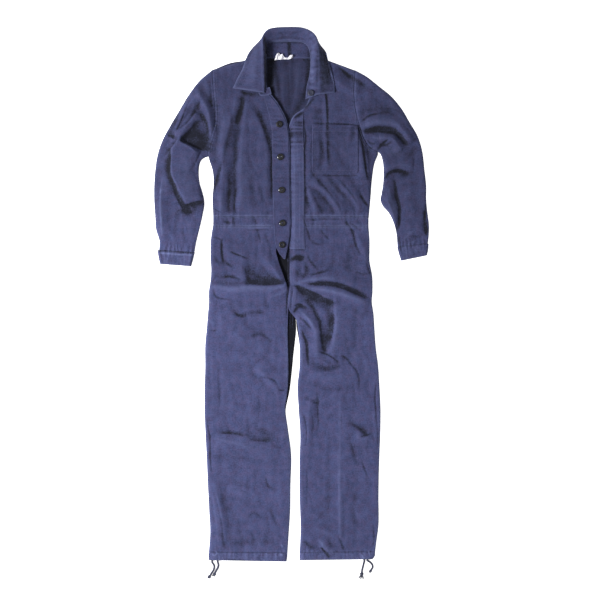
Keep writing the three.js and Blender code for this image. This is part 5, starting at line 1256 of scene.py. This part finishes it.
def makeStrips():
    for key, name, layer, ladder in (
        ("button_strip", "buttonStrip", upperLayer, 0.25), ("buttonhole_strip", "holeStrip", leftFrontLayer, 0.5),
    ):
        plan = planGrid(name, spacing=2.2)
        x, y = plan[..., 0], plan[..., 1]
        # Sewn down flatter below the waist and at its outer edge
        across = np.linspace(0, 1, x.shape[1])[None]
        sewn = (1 - 0.35 * (1 - smoothStep(240, 290, y))) * (1 - 0.6 * smoothStep(0.9, 1, across))
        top = layer(x, y) + cloth["wall"] + cloth["onPanel"] * sewn
        # Puckers across the strip, as the rungs of a ladder
        rungs = np.sin(2 * np.pi * (y / 15 + 0.9 * noise(0.2 * x, y, 30, 30))) * np.sin(np.pi * across) ** 0.7
        rungs = rungs * (0.5 + 0.6 * noise(x, y, 40, 31)) * (0.35 + 0.65 * smoothStep(270, 330, y))
        top = top + ladder * rungs
        # Rubbing along the edges, painted highlights on the puckers' tops and painted shade in their troughs
        wearAndHighlight = np.maximum(edgeWear(x.shape, 1.3, 0.25), wornness(x, y)) + 0.5 * np.clip(ladder * rungs, 0, 1)
        shade = creaseShade(x, y) + 0.6 * np.clip(-ladder * rungs, 0, 1)
        if layer is leftFrontLayer:
            # No rubbing is painted on the strip close beside the lapped front's edge
            far = nearest(edge("frontRight", "right"), x, y)[0]
            wearAndHighlight = wearAndHighlight * np.where(y < 480, 1 - np.exp(-((far / 5) ** 2)), 1)
            # Darker between its two upper buttonholes, with a painted shadow just above them, and rubbed in fine lines
            # down its length
            bare = smoothStep(449, 455, y) * (1 - smoothStep(495, 501, y))
            shade = shade + 0.42 * bare + 0.5 * smoothStep(524, 512, y) * smoothStep(500, 512, y)
            lines = np.maximum(0, np.cos(2 * np.pi * (x - 1) / 8)) ** 4
            lines = lines + np.exp(-(((y - 451) / 2) ** 2)) + np.exp(-(((y - 498) / 2) ** 2))
            wearAndHighlight = wearAndHighlight + 0.22 * lines * (1 - bare) * (1 - smoothStep(440, 505, y) * 0.5)
            wearAndHighlight = wearAndHighlight + 0.1 * (1 - smoothStep(420, 452, y))
            # Painted shadow along the lapped front's edge, and painted shade under that front
            lapped = 0.45 * np.exp(-((far / 1.8) ** 2)) + (1 - smoothStep(-9, -5, x))
            shade = shade + lapped * (1 - smoothStep(470, 500, y))
        piece = clothPiece(f"cloth_{key}", plan, top, wearAndHighlight=wearAndHighlight, shade=shade, shell=1.3)
        nodes = [f"{key}_front", f"{key}_waist", f"{key}_fly"]
        declareSheet(piece, plan, nodes)


def pocketPlan():
    # Rows from the top edge down; the last rows draw in round the corners: r - sqrt(r^2 - d^2).
    p = pocket
    y = np.linspace(p["top"], p["bottom"], 68)[:, None]
    depth = np.clip(p["bottom"] + p["corner"] - y, 0, p["corner"])
    drawn = p["corner"] - np.sqrt(np.maximum(p["corner"] ** 2 - depth**2, 0))
    u = np.linspace(0, 1, 64)[None]
    x = p["left"] + drawn + (p["right"] - p["left"] - 2 * drawn) * u
    return np.dstack([x, np.broadcast_to(y, x.shape)])


def makePocket():
    plan = pocketPlan()
    x, y = plan[..., 0], plan[..., 1]
    s = np.linspace(0, 1, x.shape[0])[:, None]
    hem = 0.5 * (1 - smoothStep(0.13, 0.15, s))
    mouth = 1.2 * np.exp(-((s / 0.05) ** 2)) * np.sin(np.pi * np.linspace(0, 1, x.shape[1]))[None]
    top = leftFrontLayer(x, y) + cloth["wall"] + cloth["onPanel"] - 0.9 + hem + mouth
    top = top + 0.35 * noise(x, y, 13, 33) * edgeWear(x.shape, 4, 1)
    piece = clothPiece("cloth_chest_pocket", plan, top, wearAndHighlight=edgeWear(x.shape, 1.2, 0.03), tone=toneOf(x, y) - 0.05, shell=1.2)
    declareSheet(piece, plan, ["chest_pocket"])


facing = {"rows": [(-76, 761, 36, 761), (-79, 738, 54, 738), (-79, 708, 58, 708)], "thick": 1.0}


def makeFacing():
    panels["facing"] = facing["rows"]
    plan = planGrid("facing")
    x, y = plan[..., 0], plan[..., 1]
    top = np.full(x.shape, cloth["seat"] + facing["thick"]) + 0.25 * noise(x, y, 14, 34)
    piece = clothPiece(
        "cloth_neck_facing", plan, top, wearAndHighlight=edgeWear(x.shape, 1.5, 0.3), shade=neckShade(x, y),
        tone=np.full(x.shape, 1.1), shell=0.8, material="inside",
    )
    declareSheet(piece, plan, ["neck_facing"])


# The right end of the collar stand, which shows below the collar's leaf, with its buttonhole
tab = {"start": (-62, 611), "end": (-98, 602), "half": 10.5}


def makeTab():
    # A band with a round end: half width w sqrt(1 - t^2), where t runs over its last third.
    start, end = np.array(tab["start"], float), np.array(tab["end"], float)
    ahead = (end - start) / np.linalg.norm(end - start)
    s, v = np.linspace(0, 1, 30)[:, None], np.linspace(-1, 1, 17)[None]
    t = np.clip((s - 0.64) / 0.36, 0, 0.995)
    half = tab["half"] * np.sqrt(1 - t**2)
    plan = start + (end - start) * s[..., None] + np.array([-ahead[1], ahead[0]]) * (half * v)[..., None]
    x, y = plan[..., 0], plan[..., 1]
    top = upperLayer(x, y) + cloth["wall"] + 2.3 + 0.5 * noise(x, y, 9, 36)
    # The buttonhole: a shallow slit with painted shade in it
    slit = nearest(np.array([(-92, 603), (-78, 606.5)], float), x, y)[0]
    piece = clothPiece(
        "cloth_neck_tab", plan, top - 1.0 * np.exp(-((slit / 1.3) ** 2)), wearAndHighlight=edgeWear(x.shape, 1.8, 0.75),
        shade=np.exp(-((slit / 1.5) ** 2)), shell=1.3,
    )
    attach(piece, "root")


makeStrips()
makePocket()
makeFacing()
makeTab()
print("strips, pocket and facing laid")


# Collar: sections round the neck from the right front to the left one
# (seamX, seamY, seamZ, rollX, rollY, rollZ, edgeX, edgeY, edgeZ, under)
collar = {
    "sections": [
        (-80, 603, 9, -84, 604, 13, -176, 618, 9, 0), (-77, 630, 9, -82, 632, 20, -164, 644, 10, 0),
        (-77, 668, 9, -83, 672, 25, -147, 676, 10, 0), (-77, 702, 9, -84, 708, 27, -136, 708, 6, 0.1),
        (-77, 734, 5, -86, 741, 27, -124, 730, 2, 0.3), (-73, 752, 3.6, -85, 770, 24, -104, 752, 1.8, 0.6),
        (-48, 757, 3.2, -66, 794, 18, -72, 776, 1.8, 1), (-16, 758, 3.2, -18, 799.8, 14, -18, 770, 1.8, 1),
        (28, 757, 3.2, 36, 797, 15, 38, 774, 1.8, 1), (47, 746, 3.6, 70, 776, 20, 78, 752, 1.8, 0.6),
        (55, 726, 5, 80, 738, 22, 102, 728, 2, 0.3), (57, 698, 9, 81, 702, 20, 110, 700, 7, 0.1),
        (54, 660, 9, 81, 660, 19, 121, 662, 10, 0), (46, 624, 9, 82, 628, 18, 128, 632, 10, 0),
        (42, 585, 9, 80, 598, 15, 130, 605, 9.5, 0),
    ],
    "stations": 190,
    "across": 56,
    "thick": 2.0,
}


# Painted shade (above 0), and rubbed edges and painted highlights (below 0), on the collar, in the same columns as the
# creases
collarCreases = [
    (86, 752, 94, 680, 98, 606, 0.9, 11, 9), (98, 724, 106, 680, 112, 616, 0.8, 12, 8),
    (118, 722, 124, 680, 132, 618, -0.7, 3, 3), (111, 716, 116, 680, 121, 618, -0.35, 2, 2),
    (66, 742, 58, 700, 66, 624, -0.55, 8, 9), (30, 792, 58, 776, 78, 744, -0.35, 8, 8),
    (78, 740, 77, 690, 78, 622, 0.4, 4, 4), (62, 736, 54, 716, 52, 700, 0.45, 3, 4),
    (52, 690, 62, 680, 72, 682, 0.5, 3, 3), (50, 662, 58, 655, 70, 660, 0.45, 3, 3),
    (48, 640, 58, 630, 72, 634, 0.5, 3, 4), (44, 616, 52, 606, 66, 608, 0.55, 4, 4),
    (44, 598, 54, 592, 72, 594, -0.5, 3, 3), (40, 610, 41, 598, 43, 588, -0.5, 3, 3),
    (54, 674, 60, 668, 68, 670, -0.5, 3, 3), (50, 652, 56, 646, 66, 648, -0.5, 3, 3),
    (2, 782, 18, 786, 38, 790, 0.5, 3, 3), (-40, 786, -28, 776, -30, 764, 0.3, 4, 5),
    (50, 786, 56, 768, 66, 754, 0.35, 4, 5), (-60, 764, -20, 768, 38, 764, 0.3, 4, 4),
    (-62, 759, -20, 760.5, 36, 759, -0.75, 2, 2), (-56, 786, -20, 790, 20, 788, -0.35, 6, 5),
    (-80, 786, -80, 770, -79, 744, 0.9, 4, 4), (-79, 750, -78, 690, -79, 606, 1.0, 4, 3),
    (-86, 782, -87, 700, -88, 612, -0.4, 2, 2), (-132, 700, -120, 660, -130, 626, -0.15, 16, 16),
    (-100, 740, -104, 700, -100, 640, 0.25, 9, 9), (-168, 622, -130, 616, -96, 612, -0.5, 2, 2),
    (-158, 648, -146, 676, -134, 704, -0.4, 2, 2), (-160, 636, -150, 632, -140, 640, 0.25, 5, 5),
]


def uniformCurve(values, at):
    # Plain Catmull-Rom through evenly spaced values, for each column at once.
    v = np.asarray(values, float)
    v = np.vstack([2 * v[0] - v[1], v, 2 * v[-1] - v[-2]])
    i = np.minimum(at.astype(int), len(values) - 2)
    w = (at - i)[:, None]
    a, b, c, d = v[i], v[i + 1], v[i + 2], v[i + 3]
    return b + 0.5 * w * (c - a + w * (2 * a - 5 * b + 4 * c - d + w * (3 * (b - c) + d - a)))


def collarSurface():
    # Each section is a curve from the seam up the stand, over the roll and down to the edge.
    rows = uniformCurve(collar["sections"], np.linspace(0, len(collar["sections"]) - 1, collar["stations"]))
    seam, roll, rim, under = rows[:, 0:3], rows[:, 3:6], rows[:, 6:9], rows[:, 9]
    stand = (seam + roll) / 2
    stand[:, 2] += 0.35 * (roll[:, 2] - seam[:, 2])
    fall = roll + 0.4 * (rim - roll)
    fall[:, 2] += (0.3 - 0.9 * under) * (roll[:, 2] - rim[:, 2])
    knots = np.stack([seam, stand, roll, fall, rim])
    at = np.linspace(0, 4, collar["across"])
    flat = collarAcross(knots, at)
    below = np.where(under[:, None] < 0.25, upperLayer(flat[..., 0], flat[..., 1], fine=False) + cloth["wall"], 0)
    flat[..., 2] = np.maximum(flat[..., 2], below + 2.1)
    return flat, under


def collarAcross(knots, at):
    # The centripetal curve of smoothCurve, for every station at once.
    curves = [smoothCurve(knots[:, k], at) for k in range(knots.shape[1])]
    return np.stack(curves)


def makeCollar():
    points, under = collarSurface()
    s = np.linspace(0, 1, points.shape[1])[None]
    x, y = points[..., 0], points[..., 1]
    wave = 0.7 * noise(x, y, 30, 40) + 0.35 * noise(x, y, 12, 41)
    crumpled = 1 - np.abs(2 * noise(x, 1.5 * y, 26, 43))
    crumpled = crumpled * smoothStep(20, 60, x) * (1 - smoothStep(0.45, 0.62, s))
    points[..., 2] += (wave + 1.1 * crumpled) * np.sin(np.pi * np.clip(s, 0, 1)) * (1 - 0.5 * under[:, None])
    walked = np.arange(points.shape[0])[:, None] * 3.4
    uv = np.dstack([np.broadcast_to(walked, x.shape), s * 78 + 0 * x])
    z = points[..., 2]
    crest = z - blur(z, 3)
    rolled = np.exp(-(((s - 0.5) / 0.05) ** 2)) * (0.6 + 0.5 * noise(x, y, 14, 42))
    worn = edgeWear(x.shape, 1.5, 0.55) + 0.25 * rolled
    shade = strokes(collarCreases, x, y, lambda off, dark, narrow: dark * np.exp(-(off**2)), 0.35)
    values = {
        "wearAndHighlight": np.clip(worn + 0.3 * np.clip(crest, 0, 1) + 0.5 * np.clip(-shade, 0, 1), 0, 1),
        "paintedShade": np.clip(np.clip(shade, 0, 1) - 0.4 * crest, 0, 1),
        "tone": 0.69 + 0.09 * smoothStep(0, 60, x) + 0.06 * noise(x, y, 24, 44),
    }
    piece = makeMesh("cloth_collar", points, uv, gridFaces(*x.shape)[:, ::-1], values)
    piece.data.materials.append(materials["twill"])
    solidify = piece.modifiers.new("thickness", "SOLIDIFY")
    solidify.thickness = collar["thick"] * mm
    solidify.offset = 0
    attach(piece, "root")
    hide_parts("collar")
    return points


collarPoints = makeCollar()
print("collar made")


# Label: a small blank tape, crumpled: its upper and lower edge from left to right
label = {
    "upper": [(-48, 712), (-44, 721), (-38, 725), (-33, 719), (-27, 722), (-22, 711), (-12, 710), (-4, 717), (4, 719)],
    "lower": [(-51, 702), (-45, 703), (-38, 704), (-32, 704), (-26, 705), (-18, 705), (-9, 705), (0, 707), (5, 712)],
    "curl": 4.0,
}


def makeLabel():
    # Straight across from edge to edge, arched between them: curl sin(pi v) and ripples along it.
    u, v = np.linspace(0, 8, 57), np.linspace(0, 1, 17)[:, None]
    upper, lower = smoothCurve(label["upper"], u), smoothCurve(label["lower"], u)
    plan = upper[None] + (lower - upper)[None] * v[..., None]
    x, y = plan[..., 0], plan[..., 1]
    ripple = 2.2 * np.sin(0.42 * x + 2.5 * v) + 1.8 * noise(x, y, 6, 50)
    arch = label["curl"] * np.sin(np.pi * v) * (0.5 + 0.5 * np.cos(0.16 * (x + 40)))
    z = cloth["seat"] + facing["thick"] + 2.6 + (arch + ripple * np.sin(np.pi * v) ** 0.5)
    piece = makeMesh("cloth_label", np.dstack([x, y, z]), np.dstack([x, y]), gridFaces(*x.shape))
    piece.data.materials.append(materials["label"])
    solidify = piece.modifiers.new("thickness", "SOLIDIFY")
    solidify.thickness = 0.5 * mm
    solidify.offset = -1
    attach(piece, "root")
    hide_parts("label")


makeLabel()
print("label made")


# Buttons: a turned disc with a rim, four holes and thread through them
button = {
    "radius": 10.0,
    "profile": [
        (0, 0), (8.4, 0), (9.6, 0.4), (10.0, 1.2), (9.5, 2.2), (8.4, 3.0), (6.9, 3.4), (5.2, 3.1), (3.6, 2.7), (0, 2.6),
    ],
    "holeRadius": 0.95,
    "holeOffset": 1.9,
    "sides": 40,
}


def makeButtonMesh():
    # The profile as a smooth curve turned round Z, with four round holes cut through.
    import bmesh
    curve = smoothCurve(button["profile"], np.linspace(0, 9, 34))
    curve[:, 0] = np.maximum(curve[:, 0], 0)
    curve[:, 1] = np.maximum(curve[:, 1], 0)
    curve[-1, 0] = 0
    turn = np.linspace(0, 2 * np.pi, button["sides"], endpoint=False)[None]
    high = np.repeat(curve[:, 1:], button["sides"], 1)
    points = np.dstack([curve[:, :1] * np.cos(turn), curve[:, :1] * np.sin(turn), high])
    disc = makeMesh("buttonDisc", points, points[..., :2], tubeFaces(len(curve), button["sides"]))
    work = bmesh.new()
    work.from_mesh(disc.data)
    bmesh.ops.remove_doubles(work, verts=work.verts, dist=1e-6)
    bmesh.ops.recalc_face_normals(work, faces=work.faces)
    work.to_mesh(disc.data)
    work.free()
    for place in range(4):
        angle = math.radians(45 + 90 * place)
        bpy.ops.mesh.primitive_cylinder_add(
            vertices=20, radius=button["holeRadius"] * mm, depth=0.02,
            location=(button["holeOffset"] * math.cos(angle) * mm, button["holeOffset"] * math.sin(angle) * mm, 0),
        )
        drill = bpy.context.object
        cut = disc.modifiers.new("hole", "BOOLEAN")
        cut.operation = "DIFFERENCE"
        cut.object = drill
        bpy.context.view_layer.objects.active = disc
        bpy.ops.object.modifier_apply(modifier=cut.name)
        bpy.data.objects.remove(drill)
    disc.data.polygons.foreach_set("use_smooth", np.ones(len(disc.data.polygons), bool))
    return disc


def makeButtons():
    disc = makeButtonMesh()
    base = np.empty(len(disc.data.vertices) * 3)
    disc.data.vertices.foreach_get("co", base)
    base = base.reshape(-1, 3)
    tilts = [(0.02, -0.03), (-0.05, 0.03), (0.04, 0.05), (-0.04, 0.04), (0.05, -0.02), (0.0, 0.03)]
    for number, (tiltX, tiltY) in enumerate(tilts, 1):
        node = f"button_{number}"
        low, high = (np.array(corner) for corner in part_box(node))
        middle = (low + high) / 2
        turn = 0.6 * number
        spin = np.array([[math.cos(turn), -math.sin(turn), 0], [math.sin(turn), math.cos(turn), 0], [0, 0, 1]])
        points = base @ spin.T
        points[:, 2] += points[:, 0] * tiltX + points[:, 1] * tiltY
        points += (middle[0], middle[1], low[2])
        mesh = disc.data.copy()
        mesh.vertices.foreach_set("co", points.ravel())
        piece = bpy.data.objects.new(f"button_disc_{number}", mesh)
        bpy.context.scene.collection.objects.link(piece)
        piece.data.materials.clear()
        piece.data.materials.append(materials[{1: "neckButton", 2: "dullButton", 6: "dullButton"}.get(number, "button")])
        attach(piece, "root")
        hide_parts(node)
        strands = []
        for first, second in ((0, 1), (2, 3)):
            ends = [turn + math.radians(45 + 90 * k) for k in (first, second)]
            a, b = (np.array([math.cos(e), math.sin(e)]) * button["holeOffset"] for e in ends)
            s = np.linspace(0, 1, 9)[:, None]
            plan = a + (b - a) * s
            strand = np.column_stack([plan, 1.5 + 1.7 * np.sin(np.pi * s) ** 0.5])
            strands.append(strand + np.array([*middle[:2] / mm, low[2] / mm]))
        threads = joinTubes(f"button_thread_{number}", strands, 0.42, 8)
        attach(threads, "root")
    bpy.data.objects.remove(disc)


def joinTubes(name, paths, radius, sides):
    points, faces, count = [], [], 0
    for path in paths:
        ring, _ = tubeAlong(path, radius, sides)
        points.append(ring.reshape(-1, 3))
        faces.append(tubeFaces(len(path), sides) + count)
        count += len(points[-1])
    points = np.concatenate(points)
    piece = makeMesh(name, points, points[:, :2], np.concatenate(faces))
    closeEnds(piece)
    piece.data.materials.append(materials["thread"])
    return piece


makeButtons()
print("buttons sewn on")


# Sewing: rows of short stitches. Each stitch is a small spindle with four sides.
stitch = {"length": 3.0, "pitch": 4.2, "wide": 0.42, "high": 0.3}


def inset(line, by):
    # Moves a line sideways: positive to its left as it runs.
    line = np.asarray(line, float)
    ahead = np.gradient(line, axis=0)
    ahead /= np.linalg.norm(ahead, axis=1, keepdims=True)
    return line + by * np.column_stack([-ahead[:, 1], ahead[:, 0]])


def resample(line, step):
    line = np.asarray(line, float)
    walked = np.append(0, np.cumsum(np.linalg.norm(np.diff(line, axis=0), axis=1)))
    at = np.arange(step / 2, walked[-1] - step / 2, step)
    return np.column_stack([np.interp(at, walked, line[:, k]) for k in range(line.shape[1])])


def stitchPoints(line):
    # line: points (x, y, z) on the cloth, one pitch apart. Each stitch runs from one towards the next.
    ahead = np.gradient(line, axis=0)
    ahead /= np.linalg.norm(ahead, axis=1, keepdims=True)
    side = np.cross(ahead, (0, 0, 1.0))
    side /= np.linalg.norm(side, axis=1, keepdims=True)
    up = np.cross(side, ahead)
    half = stitch["length"] / 2
    rings = [(-half, 0, -0.25), (-0.45 * half, 1, 0), (0.45 * half, 1, 0), (half, 0, -0.25)]
    points = []
    for forward, fat, sink in rings:
        middle = line + ahead * forward + up * sink
        if fat == 0:
            points.append(middle[:, None])
            continue
        around = [side * stitch["wide"], up * stitch["high"], -side * stitch["wide"], -up * stitch["high"]]
        points.append(np.stack([middle + part for part in around], 1))
    return np.concatenate(points, 1)


stitchFaces = [(0, 2, 1), (0, 3, 2), (0, 4, 3), (0, 1, 4), (9, 5, 6), (9, 6, 7), (9, 7, 8), (9, 8, 5)]
stitchSides = [(1, 2, 6, 5), (2, 3, 7, 6), (3, 4, 8, 7), (4, 1, 5, 8)]


def sew(name, rows):
    # rows: (line in plan, layer it lies on, height above the panel's top)
    lines = []
    for line, layer, extra in rows:
        plan = resample(line, stitch["pitch"])
        if len(plan) > 2:
            z = layer(plan[:, 0], plan[:, 1]) + cloth["wall"] + extra
            lines.append(np.column_stack([plan, z]))
    return layStitches(name, lines)


def layStitches(name, lines):
    points = np.concatenate([stitchPoints(line) for line in lines])
    offset = 10 * np.arange(len(points))[:, None]
    triangles = (np.array(stitchFaces)[None] + offset[..., None]).reshape(-1, 3)
    quads = (np.array(stitchSides)[None] + offset[..., None]).reshape(-1, 4)
    mesh = bpy.data.meshes.new(name)
    mesh.from_pydata((points.reshape(-1, 3) * mm).tolist(), [], triangles.tolist() + quads.tolist())
    mesh.polygons.foreach_set("use_smooth", np.ones(len(mesh.polygons), bool))
    mesh.update()
    piece = bpy.data.objects.new(name, mesh)
    bpy.context.scene.collection.objects.link(piece)
    piece.data.materials.append(materials["thread"])
    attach(piece, "root")
    print(name, len(points), "stitches")
    return piece


def doubled(line, first, second, layer, extra=0.1):
    return [(inset(line, first), layer, extra), (inset(line, second), layer, extra)]


def sewOnCollar():
    # Two rows beside the outer edge and one beside the seam, on the grid lines nearest to them.
    rows = [collarPoints[6:-6, -4], collarPoints[6:-6, -7], collarPoints[:, 3]]
    rows.append(collarPoints[2, 30:-2])
    rows.append(collarPoints[-3, 30:-2])
    layStitches("stitches_collar", [resample(row + np.array([0, 0, 1.15]), stitch["pitch"]) for row in rows])


def makeSewing():
    onPanel = cloth["onPanel"] + 0.1
    rows = []
    rows += doubled(seams["armholeRight"], 4, 10, upperLayer)
    rows += doubled(seams["armholeLeft"], -4, -10, leftFrontLayer)
    rows += doubled(edgeFrom("legRight", "right", 9), -4, -10, upperLayer)
    rows += doubled(edgeFrom("legLeft", "left", 8), 4, 10, leftFrontLayer)
    rows += [(inset(edge("legRight", "left"), 5), upperLayer, 0.1)]
    rows += [(inset(edge("legLeft", "right"), -5), leftFrontLayer, 0.1)]
    for x0, x1, layer in ((-232, -60, upperLayer), (44, 228, leftFrontLayer)):
        rows += [(np.array([(x0, y), (x1, y)], float), layer, 0.1) for y in (237.5, 200.5)]
        rows += [(np.array([(x0, y), (x1, y)], float), layer, 0.6) for y in (229.5, 208.5)]
    for shoulder in ([(-228, 666), (-90, 709)], [(96, 703), (186, 668)]):
        rows.append((np.array(shoulder, float), upperLayer, 0.1))
    for first, shift in ((5.2, 6), (6.5, 14)):  # beside the opening of the fly
        rows.append((edge("legRight", "right", np.linspace(first, 9, 20)) + np.array([shift, 0]), leftFrontLayer, 0.1))
    sew("stitches_body", rows)
    strips = [
        (inset(edge("buttonStrip", "left"), 3), upperLayer, onPanel),
        (inset(edge("buttonStrip", "right"), -3), upperLayer, onPanel),
        (inset(edge("holeStrip", "right"), -3), leftFrontLayer, onPanel),
    ]
    p = pocket
    for shift in (2.5, 8.5):
        path = [(p["left"] + shift, p["top"] - 1), (p["left"] + shift, p["bottom"] + shift + 2),
                (p["right"] - shift, p["bottom"] + shift + 2), (p["right"] - shift, p["top"] - 1)]
        strips.append((resample(np.array(path, float), 2.0), leftFrontLayer, onPanel - 0.5))
    strips.append((np.array([(p["left"] + 2, 488), (p["right"] - 2, 488)], float), leftFrontLayer, onPanel))
    sew("stitches_strips", strips)


makeSewing()
sewOnCollar()


# Light: a soft key from the left of the picture, a weak fill, and a bright room
lights = {
    "key": {"place": (-2.9, -0.3, 2.1), "size": 1.0, "energy": 300},
    "fill": {"place": (1.2, 0.8, 3.4), "size": 3.0, "energy": 20},
    "room": 0.55,
}


def makeLights():
    for name in ("key", "fill"):
        data = bpy.data.lights.new(name, "AREA")
        data.size = lights[name]["size"]
        data.energy = lights[name]["energy"]
        lamp = bpy.data.objects.new(name, data)
        place = np.array(lights[name]["place"])
        lamp.location = place
        aim = -place / np.linalg.norm(place)
        lamp.rotation_euler = (math.acos(-aim[2]), 0, math.atan2(aim[0], -aim[1]) + math.pi)
        bpy.context.scene.collection.objects.link(lamp)
    world = bpy.data.worlds.new("room")
    bpy.context.scene.world = world
    world.use_nodes = True
    world.node_tree.nodes["Background"].inputs[0].default_value = (1, 1, 1, 1)
    world.node_tree.nodes["Background"].inputs[1].default_value = lights["room"]
    bpy.context.scene.view_settings.view_transform = "Standard"


makeLights()
print("lights placed")
